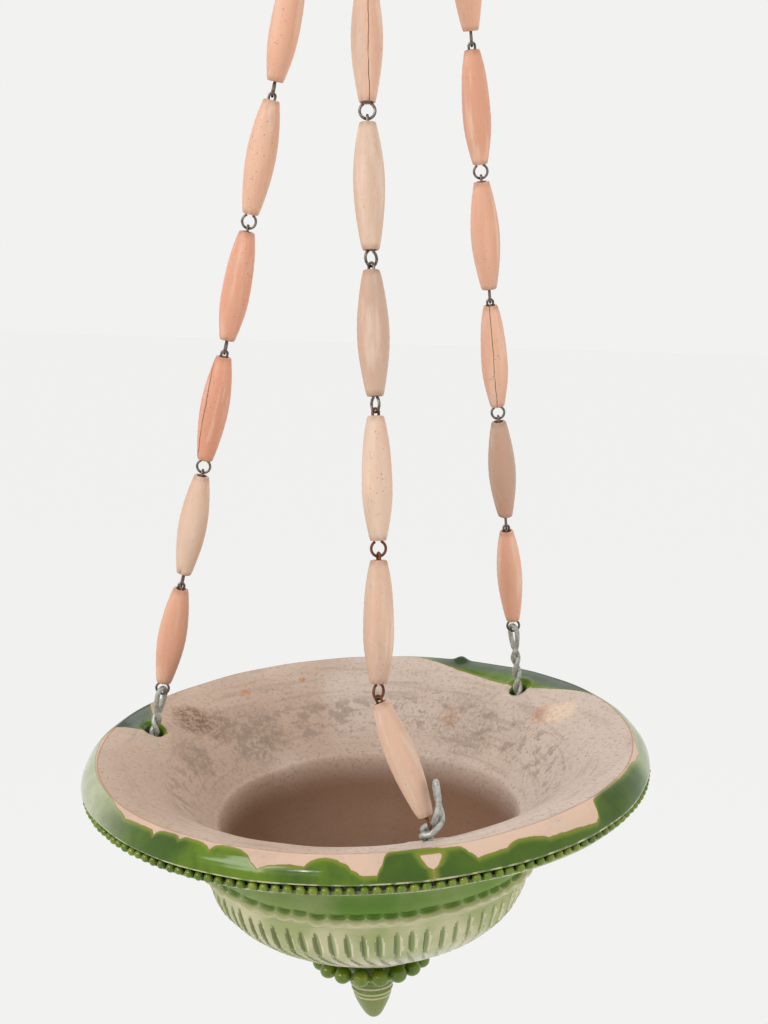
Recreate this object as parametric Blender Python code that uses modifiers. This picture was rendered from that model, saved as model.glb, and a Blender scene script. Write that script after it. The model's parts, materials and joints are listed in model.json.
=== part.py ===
"""Hanging planter: a glazed earthenware bowl hung by three chains of turned wooden beads.

Metres, +Z up. The origin is the hang point, inside the top bend of the S-hook. Below it hang
the gathering ring, three chains of nine beads, and the bowl, which hangs a little askew.
The bowl is drawn in its own upright frame, with zero height at its rim edge.
"""
import math

import bmesh
import bpy
from mathutils import Matrix, Vector

MM = 0.001
CLEARANCE = 0.3 * MM
WELD = 0.01 * MM

# Bowl: radii from its axis, depths below the rim edge
BOWL_SEGMENTS = 48
NECK_RADIUS = 101 * MM
NECK_DEPTH = 45 * MM
BRIM_REACH = 50 * MM
RIM_EDGE_RADIUS = NECK_RADIUS + BRIM_REACH
LIP_REACH = 9.6 * MM
LIP_RADIUS = RIM_EDGE_RADIUS + LIP_REACH
LIP_DEPTH = 12.2 * MM
PEARL_RIB_SIZE = 4.4 * MM
PEARL_RIB_START_DEG = 60
PEARL_RIB_END_DEG = -80
PEARL_RIB_POINTS = 4
BRIM_UNDERSIDE_DEPTH = 19.4 * MM
BRIM_FLAT_WIDTH = 24 * MM
BRIM_FLAT_RADIUS = RIM_EDGE_RADIUS - BRIM_FLAT_WIDTH
CRIMP_SWELL = 2.4 * MM
CRIMP_RADIUS = NECK_RADIUS + CRIMP_SWELL
CRIMP_DEPTH = 63.6 * MM
CRIMP_HEIGHT = 8.4 * MM
BELLY_STEP = 5.5 * MM
BELLY_TOP_RADIUS = NECK_RADIUS - BELLY_STEP
BELLY_FOOT_RADIUS = 40 * MM
BELLY_FOOT_DEPTH = 122.6 * MM
RECESS_RADIUS = 30 * MM
BEADED_FOOT_RADIUS = 33.5 * MM
BEADED_FOOT_DEPTH = 135 * MM
BEADED_FOOT_HEIGHT = 8 * MM
FOOT_PEARLS = 18
FOOT_PEARL_RADIUS = 4.6 * MM
FOOT_PEARL_SIDES = 8
FOOT_PEARL_RINGS = 6
FINIAL_RADIUS = 13.4 * MM
FINIAL_DEPTH = 151 * MM
FINIAL_GROOVE = 0.9 * MM
FINIAL_RING_HEIGHT = 4.2 * MM
TIP_DEPTH = 178.4 * MM

# Inside of the bowl
FLOOR_RADIUS = 46 * MM
FLOOR_DEPTH = 93 * MM
NECK_WALL = 11.5 * MM
LEDGE_RADIUS = NECK_RADIUS - NECK_WALL
LEDGE_DEPTH = 43.5 * MM
LEDGE_STEP = 3.2 * MM
BRIM_SHARES = ((0.22, 0.39), (0.46, 0.69), (0.70, 0.88), (0.90, 0.976))
WELL_SHARES = ((0.42, 0.07), (0.70, 0.22), (0.89, 0.50), (0.97, 0.80))
LIP_SHARES = ((0.47, 0.25), (0.81, 0.60), (0.96, 0.90))
UNDERSIDE_SHARES = ((0.72, 0.14), (0.46, 0.30), (0.20, 0.62))
BELLY_SHARES = ((0.985, 0.10), (0.94, 0.28), (0.83, 0.46), (0.66, 0.62), (0.44, 0.77), (0.20, 0.91))
TIP_SHARES = ((1.0, 0.0), (0.88, 0.28), (0.69, 0.54), (0.44, 0.80), (0.20, 0.95))

# Wire holes through the brim
HOLE_RADIUS = 5.75 * MM
HOLE_INSET = 18.9 * MM
HOLE_PLACE_RADIUS = RIM_EDGE_RADIUS - HOLE_INSET
HOLE_PLACE_DEPTH = 5.3 * MM
HOLE_SIDES = 16
CUT_OVERRUN = 22 * MM
HOLE_TURN_DEG = 14.6

# How the bowl hangs: it leans to the left, about its balance point
BOWL_LEAN_DEG = 3.78
BALANCE_DEPTH = 60 * MM

# Turned wooden bead and its link wire
BEADS_PER_CHAIN = 9
BEAD_LENGTH = 59.6 * MM
BEAD_RADIUS = 8 * MM
BEAD_END_RADIUS = 4.7 * MM
BEAD_BORE_RADIUS = 2.8 * MM
BEAD_SIDES = 10
BEAD_SHARES = ((0.12, 0.50), (0.30, 0.90), (0.50, 1.0), (0.70, 0.90), (0.88, 0.50))
LINK_WIRE = 1.4 * MM
LINK_RING_RADIUS = 3.7 * MM
LINK_RING_DROP = 3.85 * MM
LINK_EYE_PROTRUSION = 4.15 * MM
LINK_RING_POINTS = 11
LINK_EYE_POINTS = 5
LINK_BUTT_GAP = 1.3 * MM
SIDE_RING_TURNS_DEG = (0, 90, 0, 90, 0, 90, 0, 90, 0)
FRONT_RING_TURNS_DEG = (90, 0, 90, 0, 45, 120, 20, 50, 90)

# Gathering ring and S-hook
RING_WIRE = 3 * MM
RING_RADIUS = 19 * MM
RING_SEGMENTS = 28
RING_SIDES = 8
TOP_EYE_LEFT = -4.5 * MM
TOP_EYE_FRONT = 1.9 * MM
TOP_EYE_RIGHT = 5.8 * MM
TOP_EYE_CLEARANCE = 0.6 * MM
HOOK_WIRE = 4 * MM
HOOK_RADIUS = 9 * MM
HOOK_STEP_DEG = 15
HOOK_TIP_DEG = -30
HOOK_CROSS_DEG = 225

# Length of chain above the first bead and below the last one, down to the brim hole
TOP_WIRE_MEAN = 23.45 * MM
FOOT_LEFT = 31.85 * MM
FOOT_RIGHT = 47.6 * MM
FOOT_FRONT = 13.05 * MM
FRONT_KINK_DEG = 20.96
FRONT_ANCHOR_SHIFT = 4 * MM
FRONT_BOW = 16 * MM
FRONT_BOW_POWER = 1.5
FRONT_BOW_ROUNDS = 6

# Rim wires: thick wire, doubled and twisted, its ends bent apart under the brim
RIM_WIRE = 2.6 * MM
RIM_TWIST_RADIUS = 1.75 * MM
RIM_TWIST_PITCH = 11 * MM
RIM_TWIST_STEPS = 6
RIM_EYE_LENGTH = 15 * MM
RIM_EYE_HALF_WIDTH = 3.8 * MM
RIM_EYE_TURN_DEG = {"left": 12, "right": -15, "front": 0}
RIM_TWIST_HAND = {"left": -1, "right": 1, "front": 1}
RIM_ARCH_SLACK = 1.4 * MM
RIM_TAIL_LENGTH = 12 * MM
RIM_TAIL_BEND = 3.4 * MM
RIM_EYE_SHARES = ((0.30, 0.78), (0.62, 1.0), (0.88, 0.82))
FRONT_TWIST_TOP = 1.5 * MM
FRONT_LOOP_HEIGHT = 30.5 * MM
FRONT_SEAT_SLACK = 0.7 * MM
FAR_LEG_SHARES = (
    (-0.092, -0.085, 0.118),
    (0.052, -0.144, 0.180),
    (0.197, -0.046, 0.311),
    (0.216, 0.030, 0.410),
    (0.180, 0.082, 0.525),
    (0.131, 0.085, 0.689),
    (0.092, 0.066, 0.885),
    (0.094, 0.046, 0.970),
)
NEAR_LEG_SHARES = (
    (0.098, 0.0, 1.0),
    (0.108, -0.046, 0.970),
    (0.125, -0.066, 0.885),
    (0.151, -0.095, 0.672),
    (0.118, -0.111, 0.492),
)
INTO_RING_SHARES = ((0.074, -0.074, 0.044),)
OUT_OF_RING_SHARES = ((-0.090, 0.030, -0.120),)
BEHIND_SHARES = ((0.013, 0.079, 0.085),)

TAU = 2 * math.pi
SHARP_DEG = 40
CHAINS = ("left", "right", "front")
HOLE_ANGLES_DEG = {"left": 150, "right": 30, "front": -90}


def clear_scene():
    """Removes what the scene holds."""
    for thing in list(bpy.data.objects):
        bpy.data.objects.remove(thing)


def new_collection(name):
    """Makes a collection in the scene."""
    group = bpy.data.collections.new(name)
    bpy.context.scene.collection.children.link(group)
    return group


def principled(name, colour, roughness, metallic):
    """A plain material with the part's colour, roughness and metal value."""
    material = bpy.data.materials.new(name)
    material.use_nodes = True
    shader = material.node_tree.nodes["Principled BSDF"]
    shader.inputs["Base Color"].default_value = (*colour, 1.0)
    shader.inputs["Roughness"].default_value = roughness
    shader.inputs["Metallic"].default_value = metallic
    material.diffuse_color = (*colour, 1.0)
    return material


def empty(name, group, matrix=None, parent=None):
    """A frame or a joint's place."""
    frame = bpy.data.objects.new(name, None)
    group.objects.link(frame)
    frame.empty_display_size = HOOK_RADIUS
    frame.parent = parent
    if matrix is not None:
        frame.matrix_world = matrix
    return frame


def mesh_object(name, mesh, group, material, parent=None, matrix=None):
    """Puts a mesh in the scene, shaded smooth, under its parent."""
    thing = bpy.data.objects.new(name, mesh)
    group.objects.link(thing)
    if material and not mesh.materials:
        mesh.materials.append(material)
    mesh.shade_smooth()
    mesh.set_sharp_from_angle(angle=math.radians(SHARP_DEG))
    thing.parent = parent
    if parent:
        bpy.context.view_layer.update()
    thing.matrix_world = matrix if matrix is not None else Matrix.Identity(4)
    return thing


def turned_mesh(name, outline, steps, closed=False):
    """A turned solid: an outline of (radius, height) points spun about Z."""
    outline_mesh = bpy.data.meshes.new(name + "_outline")
    form = bmesh.new()
    corners = [form.verts.new((radius, 0, height)) for radius, height in outline]
    pairs = list(zip(corners, corners[1:]))
    if closed:
        pairs.append((corners[-1], corners[0]))
    for first, second in pairs:
        form.edges.new((first, second))
    form.to_mesh(outline_mesh)
    form.free()
    thing = bpy.data.objects.new(name + "_outline", outline_mesh)
    bpy.context.scene.collection.objects.link(thing)
    screw = thing.modifiers.new("turn", "SCREW")
    screw.axis = "Z"
    screw.angle = TAU
    screw.steps = steps
    screw.render_steps = steps
    screw.use_merge_vertices = True
    screw.merge_threshold = WELD
    bpy.context.view_layer.update()
    seen = thing.evaluated_get(bpy.context.evaluated_depsgraph_get())
    mesh = bpy.data.meshes.new_from_object(seen)
    mesh.name = name
    bpy.data.objects.remove(thing)
    return mesh


def wire_mesh(name, points, wire, resolution=1):
    """A round wire along a path of points, its ends closed."""
    curve = bpy.data.curves.new(name + "_path", "CURVE")
    curve.dimensions = "3D"
    curve.bevel_depth = wire / 2
    curve.bevel_resolution = resolution
    curve.use_fill_caps = True
    spline = curve.splines.new("POLY")
    spline.points.add(len(points) - 1)
    for place, point in zip(spline.points, points):
        place.co = (*point, 1.0)
    thing = bpy.data.objects.new(name + "_path", curve)
    bpy.context.scene.collection.objects.link(thing)
    bpy.context.view_layer.update()
    seen = thing.evaluated_get(bpy.context.evaluated_depsgraph_get())
    mesh = bpy.data.meshes.new_from_object(seen)
    mesh.name = name
    bpy.data.objects.remove(thing)
    form = bmesh.new()
    form.from_mesh(mesh)
    bmesh.ops.remove_doubles(form, verts=form.verts, dist=WELD)
    form.to_mesh(mesh)
    form.free()
    return mesh


def arc(centre, radius, start_deg, end_deg, count):
    """Points on an arc in a plane, both ends included."""
    angles = [math.radians(start_deg + (end_deg - start_deg) * k / (count - 1)) for k in range(count)]
    return [(centre[0] + radius * math.cos(a), centre[1] + radius * math.sin(a)) for a in angles]


def between(start, end, shares):
    """Points between two corners, each a share of the way in radius and in height."""
    return [
        (start[0] + (end[0] - start[0]) * across, start[1] + (end[1] - start[1]) * along)
        for across, along in shares
    ]


def bowl_outline():
    """The bowl's section: up the inside from the floor, then down the outside to the tip."""
    floor = (FLOOR_RADIUS, -FLOOR_DEPTH)
    ledge = (LEDGE_RADIUS, -LEDGE_DEPTH)
    well_top = (LEDGE_RADIUS - LEDGE_STEP, -LEDGE_DEPTH - LEDGE_STEP)
    edge = (RIM_EDGE_RADIUS, 0)
    inside = [(0, -FLOOR_DEPTH), floor]
    inside += between(floor, well_top, WELL_SHARES)
    inside += [well_top, ledge]
    inside += between(ledge, edge, BRIM_SHARES)
    lip = (LIP_RADIUS, -LIP_DEPTH)
    rib = PEARL_RIB_SIZE / 2
    rib_centre = (LIP_RADIUS - rib, -LIP_DEPTH - rib)
    outside = [edge]
    outside += between(edge, lip, LIP_SHARES)
    outside += arc(rib_centre, rib, PEARL_RIB_START_DEG, PEARL_RIB_END_DEG, PEARL_RIB_POINTS)
    flat = (BRIM_FLAT_RADIUS, -BRIM_UNDERSIDE_DEPTH)
    neck = (NECK_RADIUS, -NECK_DEPTH)
    outside += [(RIM_EDGE_RADIUS, -BRIM_UNDERSIDE_DEPTH), flat]
    outside += between(neck, flat, [(share, 1 - fall) for share, fall in UNDERSIDE_SHARES])
    outside += [neck]
    half = CRIMP_HEIGHT / 2
    outside += [(NECK_RADIUS, -CRIMP_DEPTH + half)]
    outside += [(CRIMP_RADIUS, -CRIMP_DEPTH + half / 2), (CRIMP_RADIUS, -CRIMP_DEPTH - half / 2)]
    belly_top = (BELLY_TOP_RADIUS, -CRIMP_DEPTH - half)
    belly_foot = (BELLY_FOOT_RADIUS, -BELLY_FOOT_DEPTH)
    outside += [belly_top]
    outside += [
        (
            belly_foot[0] + (belly_top[0] - belly_foot[0]) * out,
            belly_top[1] + (belly_foot[1] - belly_top[1]) * down,
        )
        for out, down in BELLY_SHARES
    ]
    outside += [belly_foot]
    foot_top = -BEADED_FOOT_DEPTH + BEADED_FOOT_HEIGHT / 2
    foot_end = -BEADED_FOOT_DEPTH - BEADED_FOOT_HEIGHT / 2
    outside += [(RECESS_RADIUS, -BELLY_FOOT_DEPTH - FINIAL_GROOVE), (RECESS_RADIUS, foot_top)]
    outside += [(BEADED_FOOT_RADIUS, foot_top), (BEADED_FOOT_RADIUS, foot_end)]
    outside += [(FINIAL_RADIUS, -FINIAL_DEPTH)]
    ring_foot = -FINIAL_DEPTH - FINIAL_RING_HEIGHT
    groove = FINIAL_RADIUS - FINIAL_GROOVE
    outside += [(FINIAL_RADIUS, ring_foot), (groove, ring_foot - FINIAL_GROOVE)]
    cone = (groove, ring_foot - 2 * FINIAL_GROOVE)
    tip = (0, -TIP_DEPTH)
    outside += [
        (cone[0] * out, cone[1] + (tip[1] - cone[1]) * down) for out, down in TIP_SHARES
    ]
    outside += [tip]
    return inside + outside


def foot_pearl_mesh():
    """The ring of large pearls round the foot, as one mesh of balls."""
    form = bmesh.new()
    for number in range(FOOT_PEARLS):
        turn = Matrix.Rotation(TAU * number / FOOT_PEARLS, 4, "Z")
        place = turn @ Matrix.Translation((BEADED_FOOT_RADIUS, 0, -BEADED_FOOT_DEPTH))
        bmesh.ops.create_uvsphere(
            form,
            u_segments=FOOT_PEARL_SIDES,
            v_segments=FOOT_PEARL_RINGS,
            radius=FOOT_PEARL_RADIUS,
            matrix=place,
        )
    mesh = bpy.data.meshes.new("foot_pearls")
    form.to_mesh(mesh)
    form.free()
    return mesh


def boolean(thing, cutter, kind):
    """Adds or removes a cutter's solid, with the exact solver."""
    change = thing.modifiers.new(cutter.name, "BOOLEAN")
    change.operation = kind
    change.solver = "EXACT"
    change.object = cutter


def hide_cutter(cutter):
    """A cutter is a guide only."""
    cutter.hide_render = True
    cutter.display_type = "WIRE"


def bead_mesh():
    """A drilled spindle, its upper end at zero height."""
    swell = BEAD_RADIUS - BEAD_END_RADIUS
    outside = [(BEAD_END_RADIUS, 0)]
    outside += [(BEAD_END_RADIUS + swell * out, -BEAD_LENGTH * down) for down, out in BEAD_SHARES]
    outside += [(BEAD_END_RADIUS, -BEAD_LENGTH)]
    bore = [(BEAD_BORE_RADIUS, -BEAD_LENGTH), (BEAD_BORE_RADIUS, 0)]
    return turned_mesh("bead", outside + bore, BEAD_SIDES, closed=True)


def eye_radius(held_wire, clearance):
    """The bend of a link's eye round the wire that it hangs on."""
    return (held_wire + LINK_WIRE) / 2 + clearance


STRAND = eye_radius(LINK_WIRE, CLEARANCE)
BEAD_TOP = LINK_EYE_PROTRUSION - STRAND - LINK_WIRE / 2
BEAD_GAP = LINK_RING_DROP + LINK_RING_RADIUS + BEAD_TOP
LINK_PITCH = BEAD_LENGTH + BEAD_GAP


def link_path(bead_top, top_radius, eye_turn, ring_turn):
    """A link's wire, hung from zero: down one strand from the eye, round the ring and back."""
    bead_foot = -bead_top - BEAD_LENGTH
    ring_height = bead_foot - LINK_RING_DROP
    exit_angle = math.degrees(math.acos(STRAND / LINK_RING_RADIUS))

    def turned(points, turn_deg):
        turn = Matrix.Rotation(math.radians(turn_deg), 4, "Z")
        return [turn @ Vector((across, 0, height)) for across, height in points]

    butt = [(-STRAND, ring_height + LINK_RING_RADIUS * math.sin(math.radians(exit_angle)) + LINK_BUTT_GAP)]
    eye = arc((0, 0), top_radius, 180, 0, LINK_EYE_POINTS)
    if top_radius > STRAND:
        shoulder = 2 * top_radius
        eye = [(-STRAND, -shoulder)] + eye + [(STRAND, -shoulder)]
    ring = arc((0, ring_height), LINK_RING_RADIUS, exit_angle, -180 - exit_angle, LINK_RING_POINTS)
    return turned(butt, ring_turn) + turned(eye, eye_turn) + turned(ring, ring_turn)


def across_chain(up):
    """The level direction nearest to +X, square to a chain."""
    side = Vector((1, 0, 0))
    return (side - up * side.dot(up)).normalized()


def chain_frame(up, place):
    """A frame whose Z runs up a chain and whose X lies as nearly as can be along +X."""
    side = across_chain(up)
    depth = up.cross(side)
    frame = Matrix((side, depth, up)).transposed().to_4x4()
    frame.translation = place
    return frame


# Heights from the hang point down
HOOK_INNER = HOOK_RADIUS - HOOK_WIRE / 2
HOOK_SPAN = math.sqrt(2) * 2 * HOOK_RADIUS
HOOK_FOOT = Vector((0, 0, -HOOK_INNER - HOOK_SPAN - HOOK_RADIUS))
RING_CENTRE = HOOK_FOOT + Vector((0, 0, (HOOK_WIRE + RING_WIRE) / 2 + CLEARANCE - RING_RADIUS))


def ring_point(across):
    """A point on the middle of the gathering ring's wire, near its foot."""
    return RING_CENTRE + Vector((across, 0, -math.sqrt(RING_RADIUS**2 - across**2)))


TOP_EYES = {
    "left": ring_point(TOP_EYE_LEFT),
    "front": ring_point(TOP_EYE_FRONT),
    "right": ring_point(TOP_EYE_RIGHT),
}
SWING_PIVOT = ring_point(0)

# The bowl's frame: its drop follows the mean length of the two side chains
CHAIN_REACH = TOP_WIRE_MEAN + BEADS_PER_CHAIN * LINK_PITCH - BEAD_GAP + (FOOT_LEFT + FOOT_RIGHT) / 2
BOWL_DROP = math.sqrt(CHAIN_REACH**2 - HOLE_PLACE_RADIUS**2) - HOLE_PLACE_DEPTH
LEAN = math.radians(BOWL_LEAN_DEG)
BOWL_FRAME = Matrix.Translation(
    SWING_PIVOT + Vector((-BALANCE_DEPTH * math.sin(LEAN), 0, -BOWL_DROP))
) @ Matrix.Rotation(-LEAN, 4, "Y")


def hole_angle(chain):
    """A wire hole's angle round the bowl."""
    return math.radians(HOLE_ANGLES_DEG[chain] + HOLE_TURN_DEG)


def hole_place(chain):
    """The middle of a wire hole on the brim's upper side, in the world."""
    angle = hole_angle(chain)
    spot = Vector((math.cos(angle), math.sin(angle), 0)) * HOLE_PLACE_RADIUS
    spot.z = -HOLE_PLACE_DEPTH
    return BOWL_FRAME @ spot


def outward(chain):
    """The level direction from the bowl's middle to a hole."""
    away = hole_place(chain) - BOWL_FRAME.translation
    away.z = 0
    return away.normalized()


def bowed_places(foot, top):
    """Pivots up the front chain, which hangs with a bow to the left, from its last link to its second."""
    chord = top - foot
    left = -across_chain(chord.normalized())

    def place_at(share):
        return foot + chord * share + left * FRONT_BOW * math.sin(math.pi * share**FRONT_BOW_POWER)

    places = [foot]
    share = 0
    while len(places) < BEADS_PER_CHAIN - 1:
        share += LINK_PITCH / chord.length
        for _ in range(FRONT_BOW_ROUNDS):
            share += (LINK_PITCH - (place_at(share) - places[-1]).length) / chord.length
        places.append(place_at(share))
    return places


def front_chain_line(top, foot):
    """The front chain: bowed, and bent at its last link."""
    along = (top - foot).normalized()
    toward_front = Vector((0, -1, 0))
    square = (toward_front - along * toward_front.dot(along)).normalized()
    last = Matrix.Rotation(math.radians(FRONT_KINK_DEG), 3, square) @ along
    knee = foot + last * (FOOT_FRONT + LINK_PITCH - BEAD_GAP + BEAD_TOP)
    places = [top] + bowed_places(knee, top)[::-1]
    top_wire = (top - places[1]).length - LINK_PITCH + BEAD_TOP
    stations = [(place, (place - below).normalized()) for place, below in zip(places, places[1:])]
    return stations + [(knee, last)], top_wire


def chain_line(chain):
    """Pivots and directions of a chain's links from the top, as (place, up), and its top wire."""
    top = TOP_EYES[chain]
    foot = hole_place(chain)
    if chain == "front":
        return front_chain_line(top, foot + Vector((FRONT_ANCHOR_SHIFT, 0, 0)))
    foot_length = FOOT_LEFT if chain == "left" else FOOT_RIGHT
    top_wire = (top - foot).length - BEADS_PER_CHAIN * LINK_PITCH + BEAD_GAP - foot_length
    along = (top - foot).normalized()
    stations = [(top, along)]
    place = top - along * (top_wire + LINK_PITCH - BEAD_TOP)
    for _ in range(BEADS_PER_CHAIN - 1):
        stations.append((place, along))
        place = place - along * LINK_PITCH
    return stations, top_wire


def bowl_solid(parts, cutters, glaze):
    """The bowl: turned, with its foot pearls joined on and its wire holes drilled."""
    mesh = turned_mesh("bowl", bowl_outline(), BOWL_SEGMENTS)
    bowl = mesh_object("bowl", mesh, parts, glaze, matrix=BOWL_FRAME)
    pearls = mesh_object("foot_pearls", foot_pearl_mesh(), cutters, glaze, matrix=BOWL_FRAME)
    hide_cutter(pearls)
    boolean(bowl, pearls, "UNION")
    for chain in CHAINS:
        form = bmesh.new()
        bmesh.ops.create_cone(
            form,
            cap_ends=True,
            segments=HOLE_SIDES,
            radius1=HOLE_RADIUS,
            radius2=HOLE_RADIUS,
            depth=2 * CUT_OVERRUN,
        )
        drill_mesh = bpy.data.meshes.new(chain + "_drill")
        form.to_mesh(drill_mesh)
        form.free()
        place = chain_frame(wire_axis(chain), hole_place(chain))
        drill = mesh_object(chain + "_drill", drill_mesh, cutters, glaze, matrix=place)
        hide_cutter(drill)
        boolean(bowl, drill, "DIFFERENCE")
    return bowl


def wire_axis(chain):
    """The direction of a rim wire as it leaves its hole, inwards and up."""
    top = TOP_EYES[chain]
    return (top - hole_place(chain)).normalized()


def rim_wire_frame(chain):
    """The hole's frame for a rim wire: X runs along the brim, Z up the wire."""
    up = wire_axis(chain)
    level = BOWL_FRAME.to_3x3()
    angle = hole_angle(chain)
    side = level @ Vector((-math.sin(angle), math.cos(angle), 0))
    depth = up.cross(side).normalized()
    frame = Matrix((side, depth, up)).transposed().to_4x4()
    frame.translation = hole_place(chain)
    return frame


def tail_height(chain):
    """How far below the hole's mouth a rim wire's ends pass under the brim."""
    down = BRIM_UNDERSIDE_DEPTH + RIM_WIRE / 2 + CLEARANCE - HOLE_PLACE_DEPTH
    bowl_up = BOWL_FRAME.to_3x3() @ Vector((0, 0, 1))
    return down / wire_axis(chain).dot(bowl_up)


def rim_twist(chain, twist_top):
    """Where a rim wire's twist starts, and how far it turns on its way up."""
    start = RIM_TAIL_BEND - tail_height(chain)
    half_turns = round(2 * (twist_top - start) / RIM_TWIST_PITCH)
    angle = math.pi * half_turns + math.radians(RIM_EYE_TURN_DEG[chain])
    return start, angle * RIM_TWIST_HAND[chain]


def rim_wire_half(chain, twist_top, sign):
    """One strand from its bent end under the brim up the twist, ending at the eye's foot."""
    foot = -tail_height(chain)
    start, angle = rim_twist(chain, twist_top)
    points = [
        Vector((sign * RIM_TAIL_LENGTH, 0, foot)),
        Vector((sign * (RIM_TWIST_RADIUS + RIM_TAIL_BEND), 0, foot)),
        Vector((sign * (RIM_TWIST_RADIUS + RIM_TAIL_BEND / 3), 0, foot + RIM_TAIL_BEND / 3)),
    ]
    steps = round(abs(angle) / TAU * RIM_TWIST_STEPS)
    for step in range(steps + 1):
        turned = angle * step / steps
        reach = sign * RIM_TWIST_RADIUS
        height = start + (twist_top - start) * step / steps
        points.append(Vector((reach * math.cos(turned), reach * math.sin(turned), height)))
    return points


def side_rim_wire_path(chain):
    """A side chain's rim wire: two twisted strands joined by an upright eye."""
    foot_length = FOOT_LEFT if chain == "left" else FOOT_RIGHT
    ring_foot = foot_length - LINK_RING_DROP - LINK_RING_RADIUS
    arch = ring_foot + (LINK_WIRE + RIM_WIRE) / 2 + RIM_ARCH_SLACK
    twist_top = arch - RIM_EYE_LENGTH
    _, angle = rim_twist(chain, twist_top)
    across = Vector((math.cos(angle), math.sin(angle), 0)) * RIM_EYE_HALF_WIDTH
    up = Vector((0, 0, 1))
    loop = [
        across * out + up * (twist_top + RIM_EYE_LENGTH * rise) for rise, out in RIM_EYE_SHARES
    ]
    back = [Vector((-point.x, -point.y, point.z)) for point in reversed(loop)]
    frame = rim_wire_frame(chain)
    first = rim_wire_half(chain, twist_top, 1)
    second = rim_wire_half(chain, twist_top, -1)
    path = first + loop + [up * arch] + back + list(reversed(second))
    return [frame @ point for point in path]


def front_rim_wire_path():
    """The front rim wire: its near leg passes down through the last ring and behind its far
    leg, and the narrow loop that joins the legs stands up beside the last bead."""
    frame = rim_wire_frame("front")
    strands = [
        [frame @ point for point in rim_wire_half("front", FRONT_TWIST_TOP, sign)]
        for sign in (1, -1)
    ]
    left, right = sorted(strands, key=lambda strand: strand[-1].x)
    mouth = hole_place("front")
    stations, _ = chain_line("front")
    place, along = stations[-1]
    ring = place - along * (LINK_PITCH - LINK_RING_RADIUS)
    seat = LINK_RING_RADIUS - (LINK_WIRE + RIM_WIRE) / 2 - FRONT_SEAT_SLACK

    def steps_from(start, shares):
        return [start + Vector(share) * FRONT_LOOP_HEIGHT for share in shares]

    far_leg = steps_from(mouth, FAR_LEG_SHARES)
    near_leg = steps_from(mouth, NEAR_LEG_SHARES)
    into_ring = steps_from(ring, INTO_RING_SHARES)
    out_of_ring = steps_from(ring, OUT_OF_RING_SHARES)
    behind = steps_from(mouth, BEHIND_SHARES)
    through = into_ring + [ring - along * seat] + out_of_ring
    return left + far_leg + near_leg + through + behind + list(reversed(right))


def s_hook_path():
    """The S-hook, in the YZ plane: the upper bend, the cross bar and the lower bend."""
    upper = (0, -HOOK_INNER)
    lower = (0, -HOOK_INNER - HOOK_SPAN)
    count = (HOOK_CROSS_DEG - HOOK_TIP_DEG) // HOOK_STEP_DEG + 1
    over = arc(upper, HOOK_RADIUS, HOOK_TIP_DEG, HOOK_CROSS_DEG, count)
    under = [(-y, upper[1] + lower[1] - z) for y, z in reversed(over)]
    return [Vector((0, y, z)) for y, z in over + under]


def gathering_ring_mesh():
    """A closed ring of wire, standing in the XZ plane."""
    outline = arc((RING_RADIUS, 0), RING_WIRE / 2, 0, -360 + 360 / RING_SIDES, RING_SIDES)
    return turned_mesh("gathering_ring", outline, RING_SEGMENTS, closed=True)


def main():
    clear_scene()
    parts = new_collection("hanging_planter")
    cutters = new_collection("hanging_planter_cutters")
    glaze = principled("green_glaze", (0.14, 0.25, 0.05), 0.15, 0.0)
    wood = principled("turned_wood", (0.72, 0.38, 0.24), 0.6, 0.0)
    steel = principled("link_steel", (0.13, 0.11, 0.10), 0.5, 0.9)
    zinc = principled("galvanised_wire", (0.42, 0.44, 0.42), 0.45, 0.8)

    hook = mesh_object("s_hook", wire_mesh("s_hook", s_hook_path(), HOOK_WIRE, 2), parts, steel)
    ring_joint = empty("ring_swing", parts, Matrix.Translation(HOOK_FOOT), hook)
    upright = Matrix.Translation(RING_CENTRE) @ Matrix.Rotation(math.pi / 2, 4, "X")
    mesh_object("gathering_ring", gathering_ring_mesh(), parts, steel, ring_joint, upright)
    bowl_joint = empty("bowl_swing", parts, Matrix.Translation(SWING_PIVOT), ring_joint)

    bowl = bowl_solid(parts, cutters, glaze)
    bowl.parent = bowl_joint
    bpy.context.view_layer.update()
    bowl.matrix_world = BOWL_FRAME

    for chain in CHAINS:
        path = front_rim_wire_path() if chain == "front" else side_rim_wire_path(chain)
        wire = wire_mesh(chain + "_rim_wire", path, RIM_WIRE)
        mesh_object(chain + "_rim_wire", wire, parts, zinc, bowl_joint)

    bead = bead_mesh()
    top_eye = eye_radius(RING_WIRE, TOP_EYE_CLEARANCE)
    for chain in CHAINS:
        stations, top_wire = chain_line(chain)
        turns = FRONT_RING_TURNS_DEG if chain == "front" else SIDE_RING_TURNS_DEG
        parent = bowl_joint
        eye_turn = 90
        for number, ((place, along), ring_turn) in enumerate(zip(stations, turns), start=1):
            first = number == 1
            drop = top_wire if first else BEAD_TOP
            path = link_path(drop, top_eye if first else STRAND, eye_turn, ring_turn)
            frame = chain_frame(along, place)
            name = f"{chain}_link_{number}"
            link = mesh_object(name, wire_mesh(name, path, LINK_WIRE), parts, steel, parent, frame)
            bead_frame = frame @ Matrix.Translation((0, 0, -drop))
            mesh_object(f"{chain}_bead_{number}", bead, parts, wood, link, bead_frame)
            parent = link
            eye_turn = ring_turn + 90
        print(chain, "chain: wire above the first bead, mm:", round(top_wire / MM, 1))


main()
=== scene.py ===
# %% [markdown]
# # A hanging planter of glazed earthenware, turned beads and wire
# The planter is an old bowl that hangs on three chains of wooden spindles. The solids of the
# frame already have its true size and its joints, but they are plain. This notebook gives each
# of them a finer surface and a finish, and leaves every joint where it is.

# %% Load the frame
import json
import math

import bmesh
import bpy
import numpy as np
from mathutils import Matrix, Vector


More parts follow.
